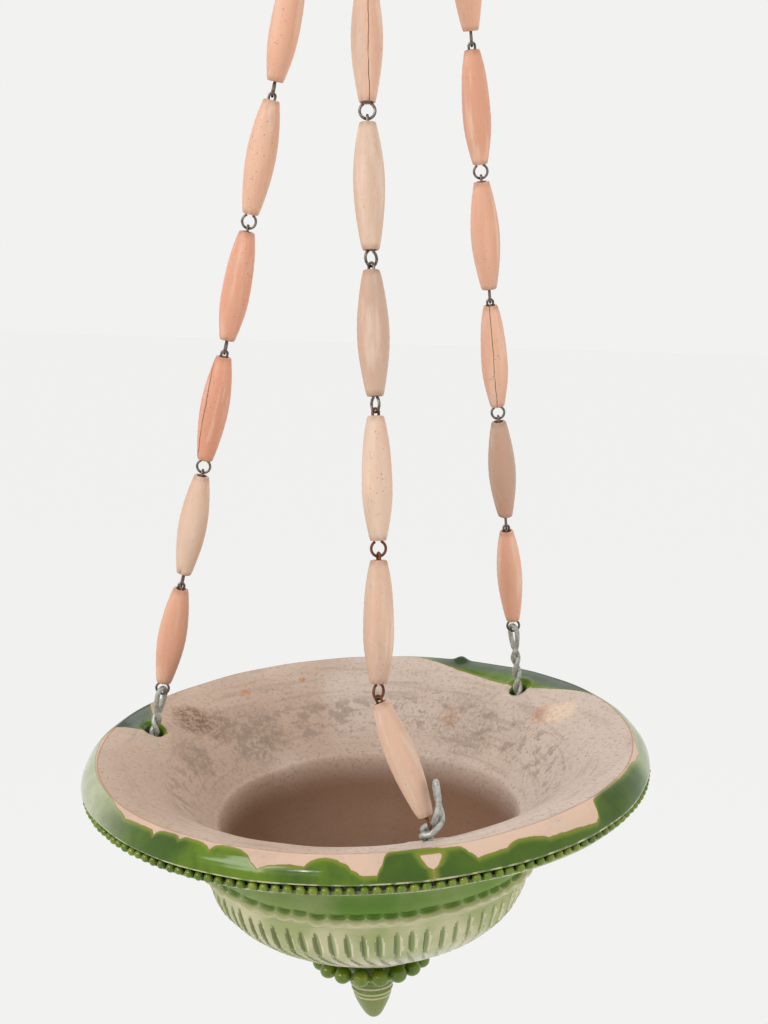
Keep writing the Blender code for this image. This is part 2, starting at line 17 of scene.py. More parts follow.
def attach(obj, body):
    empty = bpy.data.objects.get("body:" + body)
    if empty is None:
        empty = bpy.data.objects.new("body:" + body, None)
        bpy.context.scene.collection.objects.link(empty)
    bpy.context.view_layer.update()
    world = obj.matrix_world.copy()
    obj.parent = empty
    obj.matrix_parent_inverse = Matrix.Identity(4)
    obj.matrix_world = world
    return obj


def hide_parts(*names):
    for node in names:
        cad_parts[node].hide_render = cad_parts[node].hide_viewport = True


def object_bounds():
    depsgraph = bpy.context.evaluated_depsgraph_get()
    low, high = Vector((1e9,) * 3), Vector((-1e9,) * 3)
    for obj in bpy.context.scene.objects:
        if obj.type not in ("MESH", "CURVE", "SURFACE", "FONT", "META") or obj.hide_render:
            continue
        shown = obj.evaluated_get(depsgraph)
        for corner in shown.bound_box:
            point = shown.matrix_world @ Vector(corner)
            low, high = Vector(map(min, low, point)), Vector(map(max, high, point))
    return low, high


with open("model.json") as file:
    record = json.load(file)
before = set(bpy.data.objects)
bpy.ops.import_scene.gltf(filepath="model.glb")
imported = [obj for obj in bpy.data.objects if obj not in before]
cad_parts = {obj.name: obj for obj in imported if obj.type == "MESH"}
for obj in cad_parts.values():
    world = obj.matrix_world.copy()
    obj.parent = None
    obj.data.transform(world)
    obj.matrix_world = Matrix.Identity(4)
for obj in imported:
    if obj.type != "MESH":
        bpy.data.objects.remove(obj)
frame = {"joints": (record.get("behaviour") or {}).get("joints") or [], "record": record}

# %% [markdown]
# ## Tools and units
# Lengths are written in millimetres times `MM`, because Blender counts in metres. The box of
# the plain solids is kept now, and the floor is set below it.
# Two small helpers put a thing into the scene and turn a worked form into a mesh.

MM = 0.001
TAU = 2 * math.pi
CHAINS = ("left", "right", "front")
BEADS_PER_CHAIN = 9


def put(name, data):
    """Puts a new object into the scene."""
    thing = bpy.data.objects.new(name, data)
    bpy.context.scene.collection.objects.link(thing)
    return thing


def mesh_of(form, name):
    """Turns a form that is done into a mesh."""
    mesh = bpy.data.meshes.new(name)
    form.to_mesh(mesh)
    form.free()
    return mesh


solid_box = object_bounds()
print("box of the solids, m:", [tuple(round(v, 3) for v in corner) for corner in solid_box])

# %% [markdown]
# ## Where things are
# A planter on chains never hangs quite level, and this bowl leans to the left. Its frame can be
# read from the mount on its floor: the mount's axis is the bowl's own upright. Each chain is
# read from its joints: a bead spins about the line of its chain, and a link turns about the
# ring above it. Reading them is safer than copying them, since the looks then follow the frame.

# %% Read the bowl's frame and the chains from the joints
FLOOR_DEPTH = 93 * MM
FLOOR_MARK = 20 * MM
BEAD_LENGTH = 59.6 * MM

joints = {joint["name"]: joint for joint in frame["joints"]}
floor_mount = next(m for m in frame["record"]["mounts"] if m["name"] == "bowl_floor")
bowl_up = Vector(floor_mount["axis"])
bowl_side = Vector((bowl_up.z, 0, -bowl_up.x))
bowl_frame = Matrix((bowl_side, bowl_up.cross(bowl_side), bowl_up)).transposed().to_4x4()
bowl_frame.translation = (
    Vector(floor_mount["pos_m"]) - bowl_side * FLOOR_MARK + bowl_up * FLOOR_DEPTH
)


def station(chain, number):
    """A link's pivot, the direction up its chain, and how far below the pivot its bead starts."""
    name = f"{chain}_chain_bow" if number == 1 else f"{chain}_link_{number}_hinge"
    pivot = Vector(joints[name]["pos_m"])
    spin = joints[f"{chain}_bead_{number}_spin"]
    up = Vector(spin["axis"])
    drop = (pivot - Vector(spin["pos_m"])).dot(up) - BEAD_LENGTH / 2
    return pivot, up, drop


def chain_frame(up, place):
    """A frame whose Z runs up a chain and whose X lies as nearly as can be along +X."""
    side = Vector((1, 0, 0))
    side = (side - up * side.dot(up)).normalized()
    turned = Matrix((side, up.cross(side), up)).transposed().to_4x4()
    turned.translation = place
    return turned


for chain in CHAINS:
    print(chain, "chain: wire above its first bead, mm:", round(station(chain, 1)[2] / MM, 1))

# %% [markdown]
# ## The camera
# The photograph looks down on the rim from just in front, with the camera turned a little.
# A camera could be aimed with a constraint, but then its roll is lost. Three turns in order,
# about the plumb line, the level line and the line of sight, keep it. The upward shift of the
# lens stands for a picture that was cropped above the line of sight.

# %% Camera
CAMERA_PLACE = Vector((8.5, -763.2, -438.2)) * MM
CAMERA_TURN_DEG = 0.363
CAMERA_TILT_DEG = -14.118
CAMERA_ROLL_DEG = 1.775
LENS = 49.92
LENS_SHIFT_UP = 0.0528


def turn(degrees, axis):
    return Matrix.Rotation(math.radians(degrees), 4, axis)


lens = bpy.data.cameras.new("portrait_lens")
lens.lens = LENS
lens.shift_y = LENS_SHIFT_UP
lens.clip_start = 10 * MM
camera = put("portrait_camera", lens)
camera.matrix_world = (
    Matrix.Translation(CAMERA_PLACE)
    @ turn(CAMERA_TURN_DEG, "Z")
    @ turn(90 + CAMERA_TILT_DEG, "X")
    @ turn(CAMERA_ROLL_DEG, "Z")
)
bpy.context.scene.camera = camera
print("camera at", tuple(round(v, 3) for v in CAMERA_PLACE))

# %% [markdown]
# ## A short way to write materials
# A finish is a small network of nodes that feeds one shader. Written out node by node it fills
# pages, so a helper makes a node, sets its values and links it in one call. Colours are noted
# as a paint chart has them, 0 to 255, and changed into the linear light that the renderer
# counts in.

# %% Colours and nodes
def paint(red, green, blue):
    """A colour of the paint chart in linear light."""
    def linear(value):
        share = value / 255
        return share / 12.92 if share <= 0.04045 else ((share + 0.055) / 1.055) ** 2.4
    return (linear(red), linear(green), linear(blue), 1.0)


def join(tree, value, socket):
    """Links a node's output to a socket, or sets the socket to a plain value."""
    if isinstance(value, bpy.types.NodeSocket):
        tree.links.new(value, socket)
    else:
        socket.default_value = value


def add_node(tree, kind, values=None, **settings):
    """Adds a node, with settings by name and sockets by name or number."""
    node = tree.nodes.new(kind)
    for key, value in settings.items():
        setattr(node, key, value)
    for key, value in (values or {}).items():
        join(tree, value, node.inputs[key])
    return node


print("white of the paint chart in linear light:", paint(255, 255, 255))

# %% [markdown]
# ## A finish step by step
# A class keeps a material together with its nodes. With it a finish reads as a recipe: take a
# noise, ramp it, lay a tint over the last by it, raise a bump. Places are read from the object
# itself and not from an unwrapped picture, so every pattern has its true size.

# %% Helper for finishes
class Finish:
    """A material under construction."""

    def __init__(self, name):
        self.material = bpy.data.materials.new(name)
        self.material.use_nodes = True
        self.tree = self.material.node_tree
        self.shader = self.tree.nodes["Principled BSDF"]
        self.place = self.add("ShaderNodeTexCoord").outputs["Object"]

    def add(self, kind, values=None, **settings):
        return add_node(self.tree, kind, values, **settings)

    def noise(self, per_metre, detail=3, roughness=0.5, place=None):
        """Cloudy noise from 0 to 1, with so many clouds to the metre."""
        place = self.place if place is None else place
        values = {"Vector": place, "Scale": per_metre, "Detail": detail, "Roughness": roughness}
        return self.add("ShaderNodeTexNoise", values).outputs["Fac"]

    def cells(self, per_metre):
        """Distance to the nearest of many scattered points."""
        values = {"Vector": self.place, "Scale": per_metre}
        return self.add("ShaderNodeTexVoronoi", values).outputs["Distance"]

    def attribute(self, name):
        """A number that the mesh carries at each point."""
        return self.add("ShaderNodeAttribute", attribute_name=name).outputs["Fac"]

    def stretched(self, across, depth, along):
        """The place on the object, stretched along its axes."""
        node = self.add("ShaderNodeMapping", {"Vector": self.place, "Scale": (across, depth, along)})
        return node.outputs["Vector"]

    def split(self):
        """The place's x, y and z."""
        return self.add("ShaderNodeSeparateXYZ", {"Vector": self.place}).outputs

    def ramp(self, value, low, high, start=0.0, end=1.0):
        """An eased change from start to end while value goes from low to high."""
        values = {"Value": value, "From Min": low, "From Max": high, "To Min": start, "To Max": end}
        node = self.add("ShaderNodeMapRange", values, interpolation_type="SMOOTHSTEP")
        return node.outputs["Result"]

    def maths(self, operation, first, second=0.0):
        node = self.add("ShaderNodeMath", {0: first, 1: second}, operation=operation)
        return node.outputs["Value"]

    def times(self, first, second):
        return self.maths("MULTIPLY", first, second)

    def mix(self, share, first, second):
        """A mix of two colours."""
        return self.add("ShaderNodeMix", {0: share, 6: first, 7: second}, data_type="RGBA").outputs[2]

    def tint(self, colour, over, value, *span):
        """A colour with another laid over it as a value goes through a span."""
        return self.mix(self.ramp(value, *span), colour, over)

    def bump(self, height, depth, strength=1.0, under=None):
        """Relief of so many metres, on top of any relief under it."""
        values = {"Height": height, "Distance": depth, "Strength": strength}
        if under is not None:
            values["Normal"] = under
        return self.add("ShaderNodeBump", values).outputs["Normal"]

    def finish(self, colour, roughness, normal, metallic=0.0):
        """Feeds the shader and returns the material."""
        values = {"Base Color": colour, "Roughness": roughness, "Normal": normal, "Metallic": metallic}
        for name, value in values.items():
            join(self.tree, value, self.shader.inputs[name])
        return self.material


print("finish helper ready")

# %% [markdown]
# ## Studio
# The planter was shot before plain off-white paper. Lighting a white wall until it is white
# would also flood the object, so the paper's tone is given to what the camera sees, and to
# mirrored rays, while the light on the object stays at a plain level. The floor lies well
# below the finial, and keeps a soft shadow of the planter.

# %% Paper, floor and world
PAPER = paint(242, 242, 241)
FLOOR_DROP = 0.42
FLOOR_SIZE = 9.0
FLOOR_GLOW_SHARE = 0.95
PAPER_ROUGHNESS = 0.9
SKY = (0.97, 0.985, 1.0, 1.0)
SKY_STRENGTH = 0.62


def seen_directly(tree):
    """One for rays from the camera, from mirrors and through glass."""
    rays = add_node(tree, "ShaderNodeLightPath").outputs
    total = rays["Is Camera Ray"]
    for name in ("Is Glossy Ray", "Is Transmission Ray"):
        node = add_node(tree, "ShaderNodeMath", {0: total, 1: rays[name]}, operation="MAXIMUM")
        total = node.outputs["Value"]
    return total


def blend(tree, first, second, share, output):
    """Blends two shaders into a tree's output."""
    mix = add_node(tree, "ShaderNodeMixShader", {0: share, 1: first.outputs[0], 2: second.outputs[0]})
    tree.links.new(mix.outputs["Shader"], tree.nodes[output].inputs["Surface"])


def paper_world():
    """Paper for what the camera sees, and a dimmer even light for the rest."""
    world = bpy.data.worlds.new("studio")
    world.use_nodes = True
    tree = world.node_tree
    backdrop = tree.nodes["Background"]
    backdrop.inputs["Color"].default_value = PAPER
    light = add_node(tree, "ShaderNodeBackground", {"Color": SKY, "Strength": SKY_STRENGTH})
    blend(tree, light, backdrop, seen_directly(tree), "World Output")
    return world


def paper_floor():
    """Matt paper whose own tone shows through its shading, so it meets the world unseen."""
    finish = Finish("studio_paper")
    for name, value in (("Base Color", PAPER), ("Roughness", PAPER_ROUGHNESS)):
        finish.shader.inputs[name].default_value = value
    glow = finish.add("ShaderNodeEmission", {"Color": PAPER, "Strength": 1.0})
    share = finish.times(seen_directly(finish.tree), FLOOR_GLOW_SHARE)
    blend(finish.tree, finish.shader, glow, share, "Material Output")
    form = bmesh.new()
    bmesh.ops.create_grid(form, x_segments=2, y_segments=2, size=FLOOR_SIZE)
    mesh = mesh_of(form, "floor")
    mesh.materials.append(finish.material)
    floor = put("studio_floor", mesh)
    floor.location.z = solid_box[0].z - FLOOR_DROP
    return floor


bpy.context.scene.world = paper_world()
bpy.context.scene.view_settings.view_transform = "Standard"
floor = paper_floor()
print("floor at", round(floor.location.z, 3), "m")

# %% [markdown]
# ## Lamps
# The highlights on the beads of glaze are small and sit high on the left, so the main light is
# a soft box there, with a small one beside it for the brightest spots. A weaker one on the
# right lifts the shaded side and isn't mirrored in the glaze, and one from behind draws the
# pale edge along the rim. Area lamps are used, because their size makes the shadows soft.

# %% Lamps
def soft_box(name, place, aim, width, height, watts):
    """A rectangular soft light at a place, turned to face its aim."""
    light = bpy.data.lights.new(name, "AREA")
    light.shape = "RECTANGLE"
    light.size = width
    light.size_y = height
    light.energy = watts
    lamp = put(name, light)
    direction = (Vector(aim) - Vector(place)).normalized()
    lamp.location = place
    lamp.rotation_euler = direction.to_track_quat("-Z", "Y").to_euler()
    return lamp


LAMPS = {
    "key_light": ((-1.3, -1.1, 0.35), 0.9, 0.9, 17),
    "fill_light": ((1.5, -0.5, -0.2), 0.8, 1.6, 9),
    "back_light": ((0.2, 1.5, 0.5), 1.6, 0.9, 11),
    "window_light": ((-0.7, -1.5, 0.2), 0.10, 0.18, 2.2),
}
for name, (place, width, height, watts) in LAMPS.items():
    lamp = soft_box(name, place, bowl_frame.translation, width, height, watts)
    lamp.visible_glossy = name != "fill_light"
print("lamps:", list(LAMPS))

# %% [markdown]
# ## The bowl's section
# The potter threw the bowl upside down and right way up in turns, then turned a foot and a
# pointed finial. Half of its section, spun about the axis, gives the whole form. The section
# is written as short runs between true corners. Each run is eased by a curve through its
# points, so the corners stay crisp and the rest is round. The foot was thrown a little off
# the rim's axis, which a shift that grows downwards gives.

# %% Section of the bowl, radius and depth in mm
RIM_EDGE = (151, 0)
RUNS = {
    "floor": (3.0, ((4, 93), (18, 93.1), (34, 93), (46, 92.6), (55, 91.4), (63, 89.5))),
    "well": (2.0, ((63, 89.5), (69, 86.7), (74.3, 82.6), (78.7, 76.8), (81.8, 70), (84, 62),
                   (85.2, 55), (86, 49.6), (86.6, 46.7), (87.8, 44.6), (89.5, 43.4))),
    "brim": (1.6, ((89.5, 43.4), (92.6, 39.4), (97.6, 33.2), (103.2, 26.6), (110, 19.8),
                   (117.9, 13.4), (125, 8.7), (132.5, 5.2), (139, 2.7), (144.5, 1.1),
                   (148.6, 0.3), RIM_EDGE)),
    "lip": (1.0, (RIM_EDGE, (152.6, 0.7), (155, 2.4), (157.2, 4.8), (158.8, 7.4),
                  (159.9, 10), (160.4, 12))),
    "pearl_groove": (0.8, ((160.4, 12), (159.9, 12.8), (158.4, 13.2), (156.8, 13.9),
                           (156.3, 15.4), (156.8, 16.9), (158.2, 17.7))),
    "underside": (2.0, ((158.2, 17.7), (157.4, 18.7), (153, 19.2), (144, 19.3), (135, 19.5),
                        (127, 19.9), (123.4, 21.2), (119.7, 23.1), (116.0, 25.2),
                        (112.2, 27.6), (108.2, 31.2), (104.6, 35.8), (101.2, 40.6),
                        (99.2, 45))),
    "neck": (1.0, ((99.2, 45), (98.2, 48), (97.9, 51), (98.4, 53.6), (99.0, 56.2),
                   (99.2, 58.6), (98.8, 60.6))),
    "crimped_ridge": (0.55, ((98.8, 60.6), (98.6, 62), (98.5, 64), (98.2, 66),
                             (97.4, 68.2))),
    "under_ridge": (1.0, ((97.4, 68.2), (95.2, 69.6), (93.2, 71.2))),
    "belly": (0.95, ((93.2, 71.2), (93.0, 76), (91.6, 82.4), (88.6, 89.2), (83.4, 95.4),
                     (75.2, 102.2), (65.6, 108.6), (55.6, 114.8), (46.2, 120.2), (39.6, 123))),
    "recess": (1.4, ((39.6, 123), (36.4, 124), (32.6, 124.2), (29, 124.8), (27.6, 127),
                     (27.8, 129.6), (28.6, 131))),
    "beaded_foot": (1.2, ((28.6, 131), (30, 133), (30.6, 135), (30.2, 137.4), (29, 139.6))),
    "cone": (1.4, ((29, 139.6), (25, 142.4), (20.4, 145.2), (16.4, 147.8), (13.8, 150.6),
                   (12.8, 152.4))),
    "finial": (0.6, ((12.8, 152.4), (13.3, 153.6), (12.8, 155.0), (11.6, 155.9), (12.1, 156.8),
                     (12.4, 157.9), (11.7, 159), (11.0, 159.7), (11.4, 160.8), (10.8, 163.2),
                     (8.8, 168.2), (6.3, 173.2), (4.4, 176), (2.6, 177.6), (1.0, 178.3))),
}
TIP_DEPTH = 178.4
DRIFT_START = 45
DRIFT_END = 135
FOOT_DRIFT = -1.9


def eased(corners, spacing):
    """Points about one spacing apart on a smooth curve through the corners."""
    places = np.array(corners, float)
    ends = np.vstack((2 * places[0] - places[1], places, 2 * places[-1] - places[-2]))
    found = []
    for before, start, end, after in zip(ends, ends[1:], ends[2:], ends[3:]):
        steps = max(2, round(np.linalg.norm(end - start) / spacing))
        t = np.linspace(0, 1, steps, endpoint=False)[:, None]
        found.append(
            start + 0.5 * t * (end - before)
            + 0.5 * t**2 * (2 * before - 5 * start + 4 * end - after)
            + 0.5 * t**3 * (3 * start - before - 3 * end + after)
        )
    return np.vstack(found + [places[-1:]])


rows = []
for spacing, corners in RUNS.values():
    run = eased([(radius, -depth) for radius, depth in corners], spacing)
    rows.extend(run[1:] if rows else run)
section = np.array(rows)
steps_along = np.hypot(*np.diff(section, axis=0).T)
from_rim = np.concatenate(([0], np.cumsum(steps_along)))
from_rim -= from_rim[np.argmin(np.hypot(*(section - RIM_EDGE).T))]
slope = np.gradient(section, axis=0)
slope /= np.linalg.norm(slope, axis=1)[:, None]
row_normal = np.stack((-slope[:, 1], slope[:, 0]), axis=1)
print("section:", len(RUNS), "runs,", len(section), "points, rim edge to tip",
      round(from_rim[-1], 1), "mm")

# %% [markdown]
# ## Carving the clay
# Two rows of short gouge cuts run round the belly, made with a loop tool while the clay was
# leather hard. They could be cut with hundreds of booleans. It is quicker and softer to push
# the points of a fine mesh in or out by a formula: every cut is a lens that is steeper on one
# side, and no two are alike, because each takes its depth, width and place from a seeded draw.

# %% Gouge cuts as a formula, in mm
GOUGES = 68
UPPER_CUTS = {"middle": -82.6, "half": 9.4, "depth": 1.6, "width": 2.4, "lean": -0.05, "shift": 0.0}
LOWER_CUTS = {"middle": -98.5, "half": 9.4, "depth": 1.2, "width": 1.7, "lean": -0.55, "shift": 0.4}
CUT_SPREAD = {"aside": 0.07, "along": 1.2, "half": 0.12, "width": 0.16, "depth": 0.22}
BURR_HEIGHT = 0.45
BURR_WIDTH = 0.55
CUT_SKEW = 0.6


def draws(luck, count, spread):
    """Seeded numbers around zero, one for each cut or pinch, or a single one."""
    return luck.uniform(-spread, spread, count)


def bell(distance, width):
    """One at no distance, falling to nothing over about two widths."""
    return np.exp(-((distance / width) ** 2))


def cuts(luck, angle, radius, height, row):
    """Height of a row of gouge cuts with their burrs, and each point's side of its cut.

    A cut is below zero, steep on its left and shallow on its right. The side goes from -1 at a
    cut's left edge to 1 at its right edge, and is 0 off the cuts.
    """
    pitch = TAU / GOUGES
    leaned = angle - row["lean"] * (height - row["middle"]) / radius
    position = leaned / pitch - row["shift"]
    number = np.round(position).astype(int) % GOUGES
    aside, along, longer, wider, deeper = (
        draws(luck, GOUGES, spread)[number] for spread in CUT_SPREAD.values()
    )
    off = (position - np.round(position) - aside) * pitch * radius
    half = row["half"] * (1 + longer)
    inside = np.clip(1 - ((height - row["middle"] - along) / half) ** 2, 0, None)
    half_width = row["width"] * (1 + wider) * inside**0.7 + 1e-6
    across = np.clip(off / half_width, -1, 1)
    scoop = (1 - across**2) * (1 - CUT_SKEW * across)
    depth = row["depth"] * (1 + deeper)
    burr = BURR_HEIGHT * bell(np.abs(off) - half_width, BURR_WIDTH) * np.sqrt(inside)
    side = np.where(np.abs(across) < 1, across, 0) * np.sqrt(inside)
    return burr - depth * scoop * np.sqrt(inside), side


print("cuts ready:", GOUGES, "in a row")

# %% [markdown]
# ## Ridge, holes and hands
# A ridge above the cuts was pinched between finger and thumb, the edges of the wire holes sink
# in softly, and a lump of clay was left on the rim, at the back. Hands never leave a pot quite
# round, either. A noise would not meet itself after a turn round the bowl, so a few slow waves
# stand for that. All of it adds up to one relief.

# %% The whole relief of the bowl, in mm
HANDS = (((2, 3, 5), 0.45), ((9, 14, 23), 0.16))
THROWING_LINE = {"height": 0.05, "per_mm": 1.9, "wander": 1.5}
SHALLOW = -0.2
BELLY_TOP = -71.5
BELLY_FOOT = -121
PINCHES = 60
RIDGE_TOP = -56
RIDGE = {"middle": -62.9, "droop": 2.1, "half": 1.5, "height": 2.5, "hollow": 1.5, "rise": 3.3}
PINCH_WANDER = ((3, 7, 11), 0.25)
DROOP_SPREAD = 0.4
BRIM_FOOT = -13
HOLE_RADIUS = 5.75
HOLE_PLACE_RADIUS = 132.1
HOLE_ANGLES_DEG = {"left": 164.6, "right": 44.6, "front": 284.6}
HOLE_SINK = {"depth": 1.1, "width": 1.5}
HOLE_SWELL = {"height": 0.4, "width": 1.4, "from_edge": 3}
LUMP = {"angle": 66.4, "reach": 0.5, "width": 4.2, "height": 2.6}
RELIEF_SEED = 11


def wobble(luck, angle, orders, size):
    """A slow unevenness round the bowl, as hands leave it."""
    total = np.zeros_like(angle)
    for order in orders:
        total += np.cos(order * angle + luck.uniform(0, TAU)) / math.sqrt(len(orders))
    return total * size


def pinched_ridge(luck, angle, height):
    """The ridge under the neck: a roll of clay pinched into drooping scallops."""
    position = angle * PINCHES / TAU + wobble(luck, angle, *PINCH_WANDER)
    number = np.floor(position).astype(int) % PINCHES
    lobe = np.sin(np.pi * (position - np.floor(position))) ** 0.7
    droop = RIDGE["droop"] * lobe * (1 + draws(luck, PINCHES, DROOP_SPREAD)[number])
    above = height - (RIDGE["middle"] - droop)
    hollow = bell(above - RIDGE["rise"], RIDGE["half"]) * lobe
    return RIDGE["height"] * bell(above, RIDGE["half"]) - RIDGE["hollow"] * hollow


def hole_distance(x, y):
    """Distance in mm to the edge of the nearest wire hole, seen along the bowl's axis."""
    nearest = np.full_like(x, 1e3)
    for degrees in HOLE_ANGLES_DEG.values():
        middle = HOLE_PLACE_RADIUS * np.array((math.cos(math.radians(degrees)),
                                               math.sin(math.radians(degrees))))
        nearest = np.minimum(nearest, np.hypot(x - middle[0], y - middle[1]) - HOLE_RADIUS)
    return nearest


def drift(height):
    """How far the body was thrown off the rim's axis, in mm, at a height."""
    return FOOT_DRIFT * np.clip((-DRIFT_START - height) / (DRIFT_END - DRIFT_START), 0, 1)


def relief(angle, radius, height, reach):
    """How far each point stands off the section, how much is tooling, and its side of a cut."""
    luck = np.random.default_rng(RELIEF_SEED)
    hands = sum(wobble(luck, angle, orders, size) for orders, size in HANDS)
    wander = wobble(luck, angle, (1, 2), THROWING_LINE["wander"])
    hands += THROWING_LINE["height"] * np.sin(height * THROWING_LINE["per_mm"] + wander)
    belly = (height < BELLY_TOP) & (height > BELLY_FOOT) & (reach > 0)
    upper, upper_side = cuts(luck, angle, radius, height, UPPER_CUTS)
    lower, lower_side = cuts(luck, angle, radius, height, LOWER_CUTS)
    tooling = np.where(belly, np.where(upper < SHALLOW, upper, upper + lower), 0)
    side = np.where(belly, np.where(upper_side == 0, lower_side, upper_side), 0)
    ridge = (height < RIDGE_TOP) & (height > BELLY_TOP) & (reach > 0)
    tooling = tooling + np.where(ridge, pinched_ridge(luck, angle, height), 0)
    brim = (height > BRIM_FOOT) & (reach < 0)
    edge = hole_distance(radius * np.cos(angle), radius * np.sin(angle))
    soft_edge = -HOLE_SINK["depth"] * bell(np.clip(edge, 0, None), HOLE_SINK["width"])
    swell = HOLE_SWELL["height"] * bell(edge - HOLE_SWELL["from_edge"], HOLE_SWELL["width"])
    tooling = tooling + np.where(brim, soft_edge + swell, 0)
    sidle = (angle - math.radians(LUMP["angle"])) * radius / LUMP["width"]
    rise = (reach - LUMP["reach"]) / LUMP["width"]
    bulge = LUMP["height"] * np.exp(-(sidle**2) - rise**2)
    return hands + bulge, tooling, side


print("relief ready:", PINCHES, "pinches,", len(HOLE_ANGLES_DEG), "holes")

# %% [markdown]
# ## Turning the bowl
# The section is spun in code, with eleven columns of points to each gouge, and every point is
# moved along the section's normal by the relief. The unevenness fades out near the axis, where
# the columns crowd together.

# %% Bowl mesh
COLUMNS_PER_GOUGE = 11
COLUMNS = GOUGES * COLUMNS_PER_GOUGE
CALM_RADIUS = 30

angles = np.arange(COLUMNS) * TAU / COLUMNS
grid_angle, grid_radius = np.meshgrid(angles, section[:, 0])
grid_height = np.repeat(section[:, 1:2], COLUMNS, axis=1)
grid_reach = np.repeat(from_rim[:, None], COLUMNS, axis=1)
hands, tooling, _ = relief(grid_angle, grid_radius, grid_height, grid_reach)
offset = hands * np.clip(grid_radius / CALM_RADIUS, 0, 1) + tooling
out = grid_radius + offset * row_normal[:, 0:1]
height = grid_height + offset * row_normal[:, 1:2]
aside = np.where(grid_reach > 0, drift(grid_height), 0)
points = np.stack((out * np.cos(grid_angle) + aside, out * np.sin(grid_angle), height), axis=2) * MM


def quads(row_count, columns, closed=False):
    """Faces between the rows of a spun form, and from its last row to its first if closed."""
    faces = []
    for row in range(row_count if closed else row_count - 1):
        below = (row + 1) % row_count
        for column in range(columns):
            after = (column + 1) % columns
            faces.append((row * columns + column, below * columns + column,
                          below * columns + after, row * columns + after))
    return faces


def pole_fans(row_count, columns):
    """Fans at the floor's middle and the tip, whose points are the last two."""
    first_pole = row_count * columns
    last = (row_count - 1) * columns
    faces = []
    for column in range(columns):
        after = (column + 1) % columns
        faces.append((column, after, first_pole))
        faces.append((last + after, last + column, first_pole + 1))
    return faces


poles = [(0, 0, -FLOOR_DEPTH), (FOOT_DRIFT * MM, 0, -TIP_DEPTH * MM)]
bowl_mesh = bpy.data.meshes.new("thrown_bowl")
bowl_faces = quads(len(section), COLUMNS) + pole_fans(len(section), COLUMNS)
bowl_mesh.from_pydata(points.reshape(-1, 3).tolist() + poles, [], bowl_faces)
bowl_mesh.validate()
print("bowl:", len(bowl_mesh.polygons), "faces")

# %% [markdown]
# ## Piercing the brim
# The three holes for the wires were pierced before firing. Each could be left out of the spun
# mesh, but a boolean is simpler, and it keeps the wall of each hole round. The holes slant
# as the wires do: up and inwards, to the top of their chain.

# %% Pierce the wire holes
HOLE_MOUTH_DEPTH = 5.3
HOLE_SIDES = 48
HOLE_DEPTH = 60


def stand(name, mesh, matrix=None, material=None):
    """Puts a mesh or curve in the scene, and shades a mesh smooth."""
    thing = put(name, mesh)
    if material is not None:
        mesh.materials.append(material)
    if thing.type == "MESH":
        mesh.shade_smooth()
    thing.matrix_world = matrix if matrix is not None else Matrix.Identity(4)
    return thing


def hole_place(chain):
    """The middle of a wire hole on the brim, in the world."""
    degrees = math.radians(HOLE_ANGLES_DEG[chain])
    spot = Vector((math.cos(degrees), math.sin(degrees), 0)) * HOLE_PLACE_RADIUS
    spot.z = -HOLE_MOUTH_DEPTH
    return bowl_frame @ (spot * MM)


def wire_axis(chain):
    """The way a rim wire leaves its hole: up and inwards to the top of its chain."""
    return (station(chain, 1)[0] - hole_place(chain)).normalized()


drills = bmesh.new()
for chain in CHAINS:
    matrix = bowl_frame.inverted() @ chain_frame(wire_axis(chain), hole_place(chain))
    bmesh.ops.create_cone(drills, cap_ends=True, segments=HOLE_SIDES, radius1=HOLE_RADIUS * MM,
                          radius2=HOLE_RADIUS * MM, depth=HOLE_DEPTH * MM, matrix=matrix)
rough_bowl = stand("rough_bowl", bowl_mesh)
drill = stand("drill", mesh_of(drills, "drills"))
cut = rough_bowl.modifiers.new("wire_holes", "BOOLEAN")
cut.operation = "DIFFERENCE"
cut.object = drill
bpy.context.view_layer.update()
seen = rough_bowl.evaluated_get(bpy.context.evaluated_depsgraph_get())
pierced_mesh = bpy.data.meshes.new_from_object(seen)
for thing in (rough_bowl, drill):
    bpy.data.objects.remove(thing)
print("pierced bowl:", len(pierced_mesh.polygons), "faces")

# %% [markdown]
# ## Where the glaze ends
# The bowl was dipped and poured, not painted: the glaze covers the outside and laps over the
# lip in tongues, and the clay inside stays bare. Such an edge can be painted on a picture, but
# a picture ties the finish to one size. Here the edge is a short list read round the rim: at
# each angle, how far beyond the rim's edge the glaze begins. Every point of the mesh then
# carries its distance from that line, and the material turns the distance into an edge. A
# chip on the front of the lip is bare as well.

